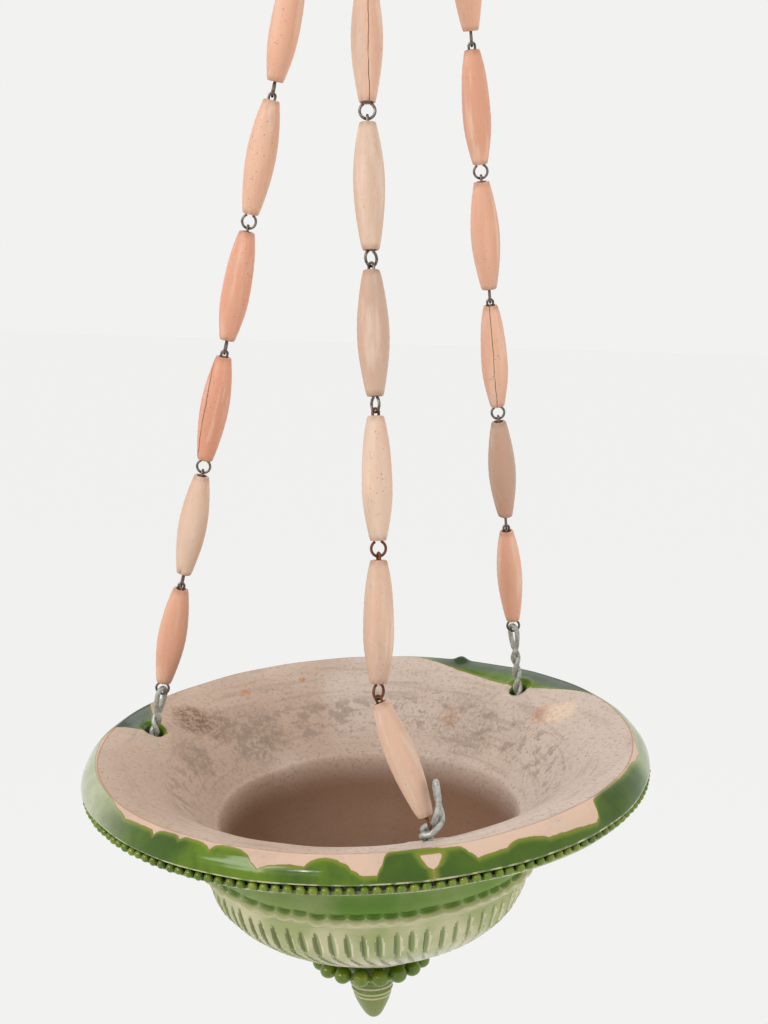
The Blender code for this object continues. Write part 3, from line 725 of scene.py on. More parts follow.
# %% Edge of the glaze: angle in degrees, mm beyond the rim's edge
GLAZE_EDGE = (
    (0, 0.5), (12, -0.5), (20, 0), (23.5, -0.5), (27.3, -2.7), (34.8, -11.2), (42, -17.3),
    (49, -19.5), (54, -18.6), (60, -16), (66, -12.6), (72, -6.5), (78, -0.6), (84, 1), (96, 0.5),
    (110, 1.5), (125, 0.5), (140, 1), (150, 0.5), (153.5, 0), (155, -3), (157.5, -8), (160, -14),
    (161.5, -24), (163, -27), (165, -25.5), (166.5, -19), (168, -12), (169, -4), (170.2, 0.5),
    (178, 2), (186, 1), (200, 0.5), (209, 0), (214, 2), (219.5, 4.5), (223, 3.5), (228, 3),
    (229, 6.5), (230, 2.5), (234, 1), (235.5, 4), (236.5, 1), (240, 1), (242.5, 5.5), (243.5, 1.5),
    (246, 0.5), (249, 2), (251, 7), (252.5, 11), (254, 8.5), (258.5, 6.5), (261, 7.5),
    (262.5, 3.5), (264.5, 2), (267, 4.5), (269, 8.5), (270.5, 11.5), (273.5, 11.5),
    (274.5, 6.5), (275.5, 0), (278, -0.5), (285, 1), (288.5, 1.5), (289.5, 5), (291, 9.5),
    (294.5, 8), (297, 7.5), (299.5, 5), (303.5, 6.5), (305.5, 8.5), (309.5, 9), (313.5, 10),
    (317.5, 12), (319, 9.5), (320.5, 1), (324, -0.5), (332, 0.5), (340, 0.5), (343, 2.5),
    (348, 4), (353, 1), (360, 0.5),
)
BARE_CHIP = {"angle": 283, "top": 3.8, "drop": 7.0, "half": 5.6}
FULL_GLAZE = 30.0
KNOWN_REACH = 40
SKIN = 4
TONGUE_ROUNDNESS = 0.65
NOTCH_DEPTH = -1
CHUNK = 20000


def rim_reach(radius, height):
    """Distance in mm beyond the rim's edge, below zero on the inside of the bowl."""
    known = np.flatnonzero(from_rim < KNOWN_REACH)
    reach = np.full(len(radius), FULL_GLAZE)
    for start in range(0, len(radius), CHUNK):
        part = slice(start, start + CHUNK)
        away = np.hypot(radius[part, None] - section[known, 0],
                        height[part, None] - section[known, 1])
        nearest = np.argmin(away, axis=1)
        close = away[np.arange(len(nearest)), nearest] < SKIN
        reach[part] = np.where(close, from_rim[known][nearest], FULL_GLAZE)
    return np.clip(reach, -FULL_GLAZE, FULL_GLAZE)


def glaze_edge(angle):
    """The edge at each angle: round tongues of glaze, parted by sharp notches of clay."""
    turns, drops = np.array(GLAZE_EDGE).T
    last = np.clip(np.searchsorted(turns, angle, "right") - 1, 0, len(turns) - 2)
    share = (angle - turns[last]) / (turns[last + 1] - turns[last])
    start, end = drops[last], drops[last + 1]
    into_notch = 1 - np.sqrt(1 - share**2)
    out_of_notch = np.sqrt(1 - (1 - share) ** 2)
    rounded = np.where(end > start, into_notch, out_of_notch)
    roundness = np.where(np.minimum(start, end) > NOTCH_DEPTH, TONGUE_ROUNDNESS, 0)
    return start + (end - start) * (share + roundness * (rounded - share))


def glaze_reach(angle, radius, reach):
    """Signed distance in mm from the glaze's edge: above zero on the glaze."""
    sidle = np.radians(angle - BARE_CHIP["angle"]) * radius
    fall = (reach - BARE_CHIP["top"]) / BARE_CHIP["drop"]
    half = BARE_CHIP["half"] * np.sqrt(np.clip(1 - fall, 0, 1))
    chip = np.maximum(-fall * BARE_CHIP["drop"], np.abs(sidle) - half)
    chip = np.where(np.abs(sidle) < 2 * BARE_CHIP["half"], 0.8 * chip, FULL_GLAZE)
    return np.minimum(reach - glaze_edge(angle), chip)


def carry(mesh, name, values):
    """Stores one number at each point of a mesh."""
    layer = mesh.attributes.new(name, "FLOAT", "POINT")
    layer.data.foreach_set("value", np.asarray(values, np.float32))


where = np.empty(len(pierced_mesh.vertices) * 3, np.float32)
pierced_mesh.vertices.foreach_get("co", where)
x, y, z = where.reshape(-1, 3).T.astype(float) / MM
turned = np.arctan2(y, x) % TAU
beyond_rim = rim_reach(np.hypot(x, y), z)
distance = glaze_reach(np.degrees(turned), np.hypot(x, y), beyond_rim)
body_turn = np.arctan2(y, x - drift(z)) % TAU
_, tooled, cut_side = relief(body_turn, np.hypot(x - drift(z), y), z, np.full(len(z), FULL_GLAZE))
on_body = (z < -DRIFT_START) & (beyond_rim == FULL_GLAZE)
carry(pierced_mesh, "rim_reach", beyond_rim)
carry(pierced_mesh, "glaze_reach", distance)
carry(pierced_mesh, "tooling", np.where(on_body, tooled, 0))
carry(pierced_mesh, "cut_side", np.where(on_body, cut_side, 0))
print("glazed points:", int((distance > 0).sum()), "of", len(distance))

# %% [markdown]
# ## Painted reflections on the lip
# On the left and at the far right of this lip the glaze is painted with a pale, milky
# reflection, and on the two patches at the back with a slate dark one. A second short list
# gives that round the rim, one for the pale reflection and minus one for the dark, and the
# points carry it as well.

# %% Painted pale and dark reflections on the lip
PAINTED_REFLECTION = (
    (0, 0.55), (18, 0.15), (28, -0.7), (70, -0.6), (85, 0), (140, 0), (152, -0.8), (171, -0.7),
    (177, 0.5), (186, 0.85), (203, 0.85), (214, 0.42), (224, 0.12), (238, 0), (318, 0),
    (324, -0.45), (335, -0.25), (345, 0.5), (360, 0.55),
)
carry(pierced_mesh, "painted_reflection", np.interp(np.degrees(turned), *np.array(PAINTED_REFLECTION).T))
print("cloudiness carried at", len(turned), "points")

# %% [markdown]
# ## Glaze colours
# The green is copper in a lead glaze. Where it lies thick it is deep and even, where it thins
# over an edge the clay warms it to olive, and it pools greener in the cuts. Under the brim it
# is thin, and reads as a pale sage. Light is painted in as well: pale and dark reflections on
# the lip, shade on its front right, in the groove behind the pearls, on the left wall of each
# cut and partly in the pinched ridge, and highlights on the lip's lower edge, on the right wall
# of each cut and partly on raised edges. Such tints could be painted by hand, but they would
# fit one pot only. Here each is laid over the last by noise, by height or by a number that the
# points carry, so it follows the form.

# %% Glaze colours
GREEN = paint(96, 124, 16)
DEEP_GREEN = paint(58, 86, 10)
YELLOW_GREEN = paint(130, 142, 40)
OLIVE = paint(150, 120, 42)
# painted pale and dark reflections of the lip
PALE_REFLECTION = paint(188, 191, 160)
DARK_REFLECTION = paint(48, 60, 48)
# painted shade in the groove behind the pearls
GROOVE_SHADE = paint(26, 38, 34)
SAGE = paint(162, 169, 112)
CREAM_SAGE = paint(206, 199, 160)
PINK_CREAM = paint(214, 199, 176)
BAND_GREEN = paint(98, 136, 42)
FOOT_GREEN = paint(86, 108, 30)
TIP_GREEN = paint(122, 132, 68)
CUT_SHADE = paint(96, 98, 54)
# painted light for the lit wall of each cut
CUT_LIT_SIDE = paint(226, 220, 184)
# span of the painted shade on the front right of the lip, in mm along X
SHADE_RIGHT = (50, 110)
SHADE_RIGHT_SOFT = 30
SMOOTH_BAND = (-62, -49, 2.5)
CRIMP = (-66, -56, 1)
FINIAL_LINES = ((-154.0, -153.2), (-158.2, -157.5), (-161.2, -160.5))
# a painted highlight line on the lip's edge above the pearls, and a pale glaze line below them
LIP_SHEEN_AND_EDGE_LINES = ((-12.5, -11.8), (-19.0, -18.2))


def band_share(finish, place, low, high, soft):
    """One between two places in mm, fading over a soft margin."""
    above = finish.ramp(place, (low - soft) * MM, low * MM)
    below = finish.ramp(place, high * MM, (high + soft) * MM, 1, 0)
    return finish.times(above, below)


def glaze_colour(finish, edge, painted_reflection):
    """Copper green: deep where thick, yellower towards its edge, with painted pale and dark
    reflections and painted shade on the front right.
    """
    body = finish.tint(GREEN, DEEP_GREEN, finish.noise(26, 4), 0.38, 0.66)
    runs = finish.noise(150, 3, place=finish.stretched(1, 1, 0.3))
    body = finish.tint(body, DEEP_GREEN, runs, 0.52, 0.72, 0, 0.45)
    place = finish.split()
    # painted shade: the front right of the lip is laid deeper green
    right = band_share(finish, place["X"], *SHADE_RIGHT, SHADE_RIGHT_SOFT)
    front_right_shade = finish.times(right, finish.maths("LESS_THAN", place["Y"], 0.0))
    body = finish.mix(finish.times(front_right_shade, 0.7), body, DEEP_GREEN)
    body = finish.tint(body, YELLOW_GREEN, edge, 0.3, 3.4, 0.7, 0.0)
    # painted reflection: a pale, milky veil where the carried number is above zero
    pale_reflection = finish.ramp(painted_reflection, 0.0, 0.9, 0.0, 0.95)
    mottle = finish.ramp(finish.noise(110, 4), 0.3, 0.7, 0.75, 1.0)
    body = finish.mix(finish.times(pale_reflection, mottle), body, PALE_REFLECTION)
    # painted reflection: slate dark on the outer lip where the carried number is below zero
    outer = finish.ramp(finish.attribute("rim_reach"), -13, -6, 0.1, 1.0)
    dark_reflection = finish.times(finish.ramp(painted_reflection, -0.8, 0.0, 0.9, 0.0), outer)
    body = finish.mix(dark_reflection, body, DARK_REFLECTION)
    return finish.tint(body, OLIVE, edge, 0.05, 0.7, 0.9, 0.0)


def under_glaze(finish, height, tooling):
    """The thin sage glaze below the brim, greener in the smooth band, cream on every edge, partly as a
    painted highlight, with painted shade and light on the two walls of each cut.
    """
    body = finish.tint(SAGE, CREAM_SAGE, finish.noise(34, 4), 0.38, 0.66, 0.0, 0.8)
    body = finish.tint(body, PINK_CREAM, height, -0.112, -0.094, 0.55, 0.0)
    patchy = finish.ramp(finish.noise(18, 3), 0.3, 0.6, 0.55, 1.0)
    band = finish.times(band_share(finish, height, *SMOOTH_BAND), patchy)
    body = finish.mix(band, body, BAND_GREEN)
    body = finish.tint(body, BAND_GREEN, tooling, -1.5, -0.1, 0.55, 0.0)
    # deep green in the hollows of the pinched ridge: pooled glaze, and painted shade
    pinched = finish.ramp(tooling, -1.1, -0.3, 0.5, 0.0)
    body = finish.mix(finish.times(pinched, band_share(finish, height, *CRIMP)), body, DEEP_GREEN)
    # cream on raised edges and the ridge: partly the glaze thinning, partly a painted highlight
    body = finish.tint(body, CREAM_SAGE, tooling, 0.1, 0.6, 0.0, 0.6)
    side = finish.attribute("cut_side")
    # painted shade on the steep left wall of each cut
    shaded = finish.times(finish.ramp(side, -0.95, -0.75), finish.ramp(side, -0.4, -0.1, 0.7, 0))
    body = finish.mix(shaded, body, CUT_SHADE)
    # painted light on the shallow right wall of each cut
    lit = finish.times(finish.ramp(side, 0.3, 0.6, 0, 0.8), finish.ramp(side, 0.85, 1, 1, 0))
    body = finish.mix(lit, body, CUT_LIT_SIDE)
    body = finish.tint(body, FOOT_GREEN, height, -0.1225, -0.1210, 1, 0)
    body = finish.tint(body, TIP_GREEN, height, -0.1600, -0.1450, 1, 0)
    for low, high in FINIAL_LINES:
        line = finish.times(band_share(finish, height, low, high, 0.3), 0.7)
        body = finish.mix(line, body, CREAM_SAGE)
    return body


def groove_glaze(finish, height, colour):
    """Sage below the pearls, painted shade behind them, a painted highlight on the lip's edge above
    them and a pale line of glaze below them.
    """
    colour = finish.mix(band_share(finish, height, -30, -17.0, 0.4), colour, SAGE)
    # painted shade: near black in the groove behind the pearls
    colour = finish.mix(band_share(finish, height, -16.6, -13.0, 0.4), colour, GROOVE_SHADE)
    # the upper line is a painted highlight on the lip's lower edge, the lower one the pale edge of the
    # glaze; noise breaks both
    line_breaks = finish.ramp(finish.noise(160, 3), 0.40, 0.60, 0.15, 0.85)
    for low, high in LIP_SHEEN_AND_EDGE_LINES:
        line = finish.times(band_share(finish, height, low, high, 0.35), line_breaks)
        colour = finish.mix(line, colour, CREAM_SAGE)
    return colour


print("glaze colours ready")

# %% [markdown]
# ## Bare clay
# Inside, the pink clay was never glazed, and wet soil has greyed it and speckled it. The
# well is darker brown towards its bottom, and the inside is painted lighter towards its lit
# right side. Noise gives the greying and speckling, but the largest stains sit where they do
# by chance, so they are a list of places, each with its size, its colour and its strength. A
# ragged edge keeps them from looking like discs.

# %% Bare clay
CLAY = paint(190, 164, 144)
# paler clay: painted light for the lit right side inside, and random tone
PALE_AND_LIT_CLAY = paint(206, 187, 172)
LIP_CLAY = paint(216, 184, 160)
RIM_LINE = paint(158, 104, 82)
BROWN_STAIN = paint(126, 98, 76)
GREY_STAIN = paint(146, 127, 111)
WELL_BROWN = paint(122, 88, 64)
RUST_STAIN = paint(192, 118, 66)
CREAM_PATCH = paint(228, 200, 172)
STAINS = (
    ((-110, 62, -9), 15, BROWN_STAIN, 0.75),
    ((-96, 68, -16), 15, BROWN_STAIN, 0.5),
    ((-104, 30, -18), 18, GREY_STAIN, 0.5),
    ((-70, 74, -24), 24, GREY_STAIN, 0.6),
    ((106, 58, -10), 10, RUST_STAIN, 0.35),
    ((116, 52, -7), 13, CREAM_PATCH, 0.85),
    ((-45, 123, -5), 3, RUST_STAIN, 0.8),
    ((-80, 102, -6), 4, RUST_STAIN, 0.6),
    ((50, 92, -22), 9, RUST_STAIN, 0.3),
    ((60, 84, -24), 30, GREY_STAIN, 0.35),
)
STAIN_RAGGED = 0.4
STAIN_EDGE = (0.5, 1.1)
SOIL_RING = (-31, -19, 6)


def stain_share(finish, place, size):
    """One at a stain's place on the bowl, falling to zero at its edge, which is ragged."""
    middle = tuple(value * MM for value in place)
    away = finish.add("ShaderNodeVectorMath", {0: finish.place, 1: middle}, operation="DISTANCE")
    wave = finish.times(finish.noise(110, 4), STAIN_RAGGED * 2 * size * MM)
    distance = finish.maths("ADD", away.outputs["Value"], wave)
    start, end = (share + STAIN_RAGGED for share in STAIN_EDGE)
    return finish.ramp(distance, size * MM * start, size * MM * end, 1.0, 0.0)


def clay_colour(finish, height, past_rim):
    """Bare clay, greyed and speckled inside by wet soil, painted lighter towards its lit right side,
    darker brown down the well, and still pink on the lip.
    """
    # painted light: the inside turns lighter towards +X, its lit right side; noise adds random tone
    side = finish.ramp(finish.split()["X"], -0.12, 0.07)
    cloud = finish.ramp(finish.noise(16, 4), 0.36, 0.64, -0.25, 0.35)
    body = finish.tint(CLAY, PALE_AND_LIT_CLAY, finish.maths("ADD", side, cloud), 0, 1)
    rings = finish.noise(420, 3, place=finish.stretched(0.05, 0.05, 1))
    body = finish.tint(body, GREY_STAIN, rings, 0.52, 0.70, 0, 0.28)
    body = finish.tint(body, GREY_STAIN, finish.noise(430, 6, 0.75), 0.50, 0.66, 0, 0.62)
    dots = finish.ramp(finish.cells(240), 0.06, 0.22, 1, 0)
    dots = finish.times(dots, finish.ramp(finish.noise(24, 3), 0.50, 0.66, 0, 0.8))
    body = finish.mix(dots, body, BROWN_STAIN)
    blotch = finish.ramp(finish.noise(120, 5, 0.65), 0.50, 0.60)
    ring = finish.times(band_share(finish, height, *SOIL_RING), blotch)
    body = finish.mix(finish.times(ring, 0.55), body, GREY_STAIN)
    crumbs = finish.ramp(finish.noise(380, 5, 0.7), 0.42, 0.56, 0.3, 1.15)
    for place, size, colour, strength in STAINS:
        stain = finish.times(stain_share(finish, place, size), crumbs)
        body = finish.mix(finish.times(stain, strength), body, colour)
    # darker brown towards the bottom of the well
    body = finish.tint(body, WELL_BROWN, height, -0.066, -0.040, 0.9, 0.0)
    fresh = finish.ramp(finish.noise(60, 4), 0.3, 0.6, 0.55, 0.95)
    fresh = finish.times(finish.ramp(past_rim, -0.6, 0.3), fresh)
    body = finish.mix(fresh, body, LIP_CLAY)
    from_line = finish.maths("ABSOLUTE", finish.maths("ADD", past_rim, 0.3))
    return finish.tint(body, RIM_LINE, from_line, 0.1, 0.7, 0.55, 0)


print("clay colours ready, stains:", len(STAINS))

# %% [markdown]
# ## One skin for the bowl
# Glaze and clay could be two materials on two sets of faces, but then their border would
# follow the mesh. One material holds both, and the carried distance, roughened by noise,
# picks the one or the other. The clay is dull, grainy and pitted. The glaze is glossy with
# slow waves, and stands a little proud of the clay along its edge.

# %% The bowl's one material
CLAY_ROUGHNESS = 0.86


def bowl_finish():
    """Glaze outside and over the lip, bare clay inside, parted along the carried edge."""
    finish = Finish("glaze_and_clay")
    tooling = finish.attribute("tooling")
    height = finish.split()["Z"]
    painted_reflection = finish.attribute("painted_reflection")
    ragged = finish.times(finish.maths("SUBTRACT", finish.noise(300, 3), 0.5), 0.9)
    edge = finish.maths("ADD", finish.attribute("glaze_reach"), ragged)
    glazed = finish.ramp(edge, -0.15, 0.15)
    below = finish.ramp(height, -0.0200, -0.0190, 1, 0)
    lip = groove_glaze(finish, height, glaze_colour(finish, edge, painted_reflection))
    glaze = finish.mix(below, lip, under_glaze(finish, height, tooling))
    clay = clay_colour(finish, height, finish.attribute("rim_reach"))
    gloss = finish.ramp(finish.noise(90, 4), 0.3, 0.7, 0.07, 0.17)
    gloss = finish.maths("ADD", gloss, finish.times(below, 0.1))
    roughness = finish.add("ShaderNodeMix", {0: glazed, 2: CLAY_ROUGHNESS, 3: gloss}).outputs[0]
    grain = finish.bump(finish.noise(900, 4, 0.7), 0.25 * MM, 0.5)
    pits = finish.bump(finish.ramp(finish.cells(360), 0.0, 0.22), 0.3 * MM, 0.35, grain)
    waves = finish.bump(finish.noise(70, 2), 0.6 * MM, 0.35)
    skins = {0: glazed, 4: pits, 5: waves}
    surface = finish.add("ShaderNodeMix", skins, data_type="VECTOR").outputs[1]
    step = finish.bump(finish.ramp(edge, -0.5, 0.6), 0.35 * MM, 1.0, surface)
    # the specular level follows the painted reflections, lowest on the painted dark ones
    shine = finish.ramp(painted_reflection, -0.6, 0.0, 0.08, 0.36)
    join(finish.tree, shine, finish.shader.inputs["Specular IOR Level"])
    return finish.finish(finish.mix(glazed, clay, glaze), roughness, step)


bowl_material = bowl_finish()
pierced_mesh.materials.clear()
glazed_bowl = stand("glazed_bowl", pierced_mesh, bowl_frame, bowl_material)
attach(glazed_bowl, "bowl")
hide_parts("bowl")
print("bowl dressed with", bowl_material.name)

# %% [markdown]
# ## Pearls of glaze
# A row of small pearls runs under the lip, pressed with a roulette, and larger ones ring the
# foot. Each is a ball half sunk in its groove. Balls made one by one in a single mesh keep the
# scene light, and each is squashed and shifted a little, as pressed clay is.

# %% Pearls
PEARL_ROWS = {
    "rim_pearls": {"count": 166, "ring": 158.1, "depth": 15.7, "radius": 2.3, "aside": 0,
                   "seed": 3, "across": 12, "up": 8},
    "foot_pearls": {"count": 18, "ring": 31.6, "depth": 135.2, "radius": 4.9, "aside": FOOT_DRIFT,
                    "seed": 5, "across": 24, "up": 16},
}
PEARL_SPREAD = {"swell": 0.08, "aside": 0.06, "drop": 0.04}


def pearl_row(name, row):
    """A ring of uneven balls, each with so many faces across and up."""
    luck = np.random.default_rng(row["seed"])
    form = bmesh.new()
    for number in range(row["count"]):
        swell = 1 + draws(luck, 3, PEARL_SPREAD["swell"])
        angle = TAU * (number + draws(luck, None, PEARL_SPREAD["aside"])) / row["count"]
        drop = row["depth"] + draws(luck, None, PEARL_SPREAD["drop"]) * row["radius"]
        place = (
            Matrix.Translation((row["aside"] * MM, 0, 0))
            @ Matrix.Rotation(angle, 4, "Z")
            @ Matrix.Translation(Vector((row["ring"], 0, -drop)) * MM)
            @ Matrix.Diagonal((*swell, 1))
        )
        bmesh.ops.create_uvsphere(form, u_segments=row["across"], v_segments=row["up"],
                                  radius=row["radius"] * MM, matrix=place)
    return mesh_of(form, name)


def pearl_finish():
    """The same green, from pearl to pearl yellower or deeper, and deepest at the foot."""
    finish = Finish("pearl_glaze")
    colour = finish.tint(GREEN, YELLOW_GREEN, finish.noise(140, 3), 0.35, 0.65)
    colour = finish.tint(colour, DEEP_GREEN, finish.noise(30, 2), 0.45, 0.7, 0, 0.6)
    colour = finish.tint(colour, DEEP_GREEN, finish.split()["Z"], -0.110, -0.100, 0.2, 0.0)
    roughness = finish.ramp(finish.noise(200, 2), 0.3, 0.7, 0.03, 0.10)
    return finish.finish(colour, roughness, finish.bump(finish.noise(420, 2), 0.2 * MM, 0.3))


pearl_material = pearl_finish()
for name, row in PEARL_ROWS.items():
    pearls = stand(name, pearl_row(name, row), bowl_frame, pearl_material)
    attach(pearls, "bowl")
    print(name, row["count"])

# %% [markdown]
# ## Turned beads
# Each bead is a drilled spindle of pale wood, thick in the middle and cut square at its ends.
# All of them share one turned shape, but hand turning never gives the same thing twice, so
# each mesh gets its own slight belly and its own flat. A few are chipped at the foot.

# %% Bead shape
BEAD_RUNS = (
    ((2.8, 0.6), (2.9, 0.1), (3.2, 0.0), (3.7, 0.0), (4.1, 0.2), (4.3, 0.7)),
    ((4.3, 0.7), (4.8, 2.6), (5.6, 6.5), (6.4, 11.3), (7.0, 16), (7.5, 20.5), (7.85, 25.2),
     (8.0, 29.8), (7.92, 34.6), (7.62, 39.4), (7.1, 44), (6.45, 48.4), (5.65, 53),
     (4.8, 57.2), (4.3, 58.9)),
    ((4.3, 58.9), (4.1, 59.4), (3.7, 59.6), (3.2, 59.6), (2.9, 59.5), (2.8, 59.0)),
)
BEAD_SPACINGS = (0.5, 1.6, 0.5)
BEAD_COLUMNS = 44
BORE_RADIUS = 2.8
BORE_DEPTHS = np.linspace(58, 1.4, 6)
SKIN_RADIUS = 3.2
OVAL = 0.10
LATHE_LINE = {"height": 0.05, "per_mm": 2.6}
BELLY_CHANGE = 0.22
FLAT = {"depth": 0.125, "half": 0.35}
CHIP_HALF = 0.38
CHIP_TOP = 54.5
CHIP_FALL = 5
CHIP_DEPTH = 1.9
CHIP_RISE = 0.9
GIRTH = {"left": 1.0, "right": 0.98, "front": 0.94}


def bead_mesh(name, seed, chip, girth):
    """A spindle with its bore, uneven in the hand of its turner, its foot chipped if asked."""
    luck = np.random.default_rng(seed)
    rows = [eased(run, spacing) for run, spacing in zip(BEAD_RUNS, BEAD_SPACINGS)]
    bore = np.array([(BORE_RADIUS, depth) for depth in BORE_DEPTHS])
    outline = np.vstack([rows[0], rows[1][1:], rows[2][1:], bore])
    turned = np.arange(BEAD_COLUMNS) * TAU / BEAD_COLUMNS
    angle, radius = np.meshgrid(turned, outline[:, 0])
    depth = np.repeat(outline[:, 1:2], BEAD_COLUMNS, axis=1)
    share = np.pi * depth / (BEAD_LENGTH / MM)
    skin = (radius > SKIN_RADIUS).astype(float)
    oval = OVAL * np.cos(2 * angle + luck.uniform(0, TAU))
    lathe = LATHE_LINE["height"] * np.sin(depth * LATHE_LINE["per_mm"] + luck.uniform(0, TAU))
    belly = BELLY_CHANGE * np.sin(share * luck.choice((1, 2, 3)) + luck.uniform(0, 1))
    belly = belly * np.sin(share)
    flat = -FLAT["depth"] * bell(angle - luck.uniform(1, 5), FLAT["half"])
    radius = np.where(skin > 0, radius * girth, radius) + skin * (oval + lathe + belly + flat)
    near_foot = np.clip((depth - CHIP_TOP) / CHIP_FALL, 0, 1)
    bite = skin * near_foot * bell(angle - luck.uniform(3.6, 5.6), CHIP_HALF) * chip
    radius = radius - bite * CHIP_DEPTH
    depth = depth - bite * CHIP_RISE
    places = np.stack((radius * np.cos(angle), radius * np.sin(angle), -depth), axis=2) * MM
    mesh = bpy.data.meshes.new(name)
    mesh.from_pydata(places.reshape(-1, 3).tolist(), [], quads(len(outline), BEAD_COLUMNS, True))
    return mesh


print("bead shape ready:", BEAD_COLUMNS, "columns, girths", GIRTH)

# %% [markdown]
# ## Wood
# The wood is a close-grained fruitwood, salmon to cream, with fine dark pores drawn out along
# the spindle. Noise that is squeezed across the grain and long with it makes such lines. The
# tone comes from a number that each bead carries, so one material serves all of them. Dirt
# sits in the end grain, and a few beads have a hairline crack along the grain.

# %% Wood material
WOOD_TONES = (
    paint(222, 155, 125), paint(230, 179, 149), paint(223, 191, 166), paint(192, 160, 138),
)
WOOD_CLOUDS = (
    ((90, 4), paint(204, 142, 112), (0.38, 0.66, 0, 0.38)),
    ((55, 5), paint(178, 150, 130), (0.47, 0.66, 0, 0.55)),
    ((210, 3), paint(240, 216, 192), (0.52, 0.72, 0, 0.40)),
)
PORES = paint(150, 104, 78)
GRIME = paint(112, 84, 64)
END_DIRT = paint(150, 104, 76)
CRACK = paint(96, 54, 36)
CRACK_SWAY = 2.2 * MM
CRACK_HALF = (0.06 * MM, 0.26 * MM)


def crack_line(finish, across, depth):
    """A hairline along the grain, on the near side, at the place that the bead carries."""
    drawn_out = finish.stretched(0.2, 0.2, 1)
    sway = finish.maths("SUBTRACT", finish.noise(45, 3, place=drawn_out), 0.5)
    line = finish.maths("SUBTRACT", across, finish.attribute("crack_place"))
    line = finish.maths("ABSOLUTE", finish.maths("ADD", line, finish.times(sway, CRACK_SWAY)))
    near_side = finish.maths("LESS_THAN", depth, 0.0)
    crack = finish.times(finish.ramp(line, *CRACK_HALF, 1, 0), near_side)
    broken = finish.ramp(finish.noise(30, 2, place=drawn_out), 0.36, 0.46)
    return finish.times(finish.times(crack, broken), finish.attribute("crack"))


def wood_finish():
    """Salmon to beige fruitwood with pores, soft clouds, dirt at the ends and cracks."""
    finish = Finish("turned_wood")
    tone = finish.attribute("tone")
    seed = finish.attribute("seed")
    grain_place = finish.stretched(1, 1, 0.12)
    across, depth, height = (finish.split()[axis] for axis in "XYZ")

    def grain(per_metre, detail):
        values = {"Vector": grain_place, "W": seed, "Scale": per_metre, "Detail": detail}
        return finish.add("ShaderNodeTexNoise", values, noise_dimensions="4D").outputs["Fac"]

    colour = WOOD_TONES[0]
    steps = len(WOOD_TONES) - 1
    for step, target in enumerate(WOOD_TONES[1:]):
        colour = finish.tint(colour, target, tone, step / steps, (step + 1) / steps)
    for cloud, target, span in WOOD_CLOUDS:
        colour = finish.tint(colour, target, grain(*cloud), *span)
    pores = finish.ramp(grain(1500, 4), 0.58, 0.74)
    colour = finish.mix(finish.times(pores, 0.30), colour, PORES)
    grime = finish.times(finish.ramp(finish.cells(420), 0.05, 0.24, 1, 0),
                         finish.ramp(grain(60, 3), 0.50, 0.64, 0, 0.6))
    colour = finish.mix(grime, colour, GRIME)
    top = finish.ramp(height, -0.004, -0.0002, 0, 1)
    foot = finish.ramp(height, -0.0595, -0.0560, 1, 0)
    dirt = finish.ramp(grain(420, 3), 0.3, 0.7, 0.15, 0.6)
    colour = finish.mix(finish.times(finish.maths("MAXIMUM", top, foot), dirt), colour, END_DIRT)
    crack = crack_line(finish, across, depth)
    colour = finish.mix(crack, colour, CRACK)
    dents = finish.times(finish.maths("ADD", pores, grime), -0.4)
    dents = finish.maths("SUBTRACT", dents, finish.times(crack, 2.0))
    roughness = finish.ramp(grain(300, 2), 0.3, 0.7, 0.42, 0.60)
    return finish.finish(colour, roughness, finish.bump(dents, 0.2 * MM, 0.7))


print("wood tones:", len(WOOD_TONES))

# %% [markdown]
# ## Stringing the beads
# The front chain is pale and the other two are warmer, with a beige bead here and there.
# Random tones would lose that, so they are listed bead by bead, from the top down, and so are
# cracks and chips. Each bead spins on its own wire.

# %% Beads on their bodies
BEAD_TONES = {
    "left": (0.30, 0.20, 0.35, 0.25, 0.42, 0.10, 0.00, 0.64, 0.20),
    "right": (0.40, 0.30, 0.35, 0.30, 0.14, 0.24, 0.38, 1.00, 0.24),
    "front": (0.60, 0.70, 0.55, 0.50, 0.78, 0.88, 0.66, 0.56, 0.64),
}
CRACK_PLACES = {("left", 7): -4.4, ("front", 4): 0.8, ("right", 7): -0.6, ("right", 2): 2.0}
CHIPS = {("left", 8): 1.0, ("front", 8): 0.8, ("right", 8): 0.7, ("left", 6): 0.5}
GRAIN_STEP = 0.37

wood = wood_finish()
for row, chain in enumerate(CHAINS):
    for number in range(1, BEADS_PER_CHAIN + 1):
        pivot, up, drop = station(chain, number)
        seed = 100 * row + number
        name = f"{chain}_spindle_{number}"
        mesh = bead_mesh(name, seed, CHIPS.get((chain, number), 0.0), GIRTH[chain])
        carried = {
            "tone": BEAD_TONES[chain][number - 1], "seed": seed * GRAIN_STEP,
            "crack": float((chain, number) in CRACK_PLACES),
            "crack_place": CRACK_PLACES.get((chain, number), 0.0) * MM,
        }
        for label, value in carried.items():
            carry(mesh, label, np.full(len(mesh.vertices), value))
        matrix = chain_frame(up, pivot) @ Matrix.Translation((0, 0, -drop))
        bead = stand(name, mesh, matrix, wood)
        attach(bead, f"{chain}_bead_{number}")
        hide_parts(f"{chain}_bead_{number}")
print("beads:", len(CHAINS) * BEADS_PER_CHAIN)

# %% [markdown]
# ## Wire
# Everything else is bent wire. A wire is a path with a round section, so a Blender curve with
# a bevel is the natural way: its points can be few where it is straight and many on a bend.
# Its ends are filled, as the real ones are cut with pliers and not drawn to a point. Four
# finishes serve: drawn steel, the same gone rusty, zinc coat, and the brighter steel on top.

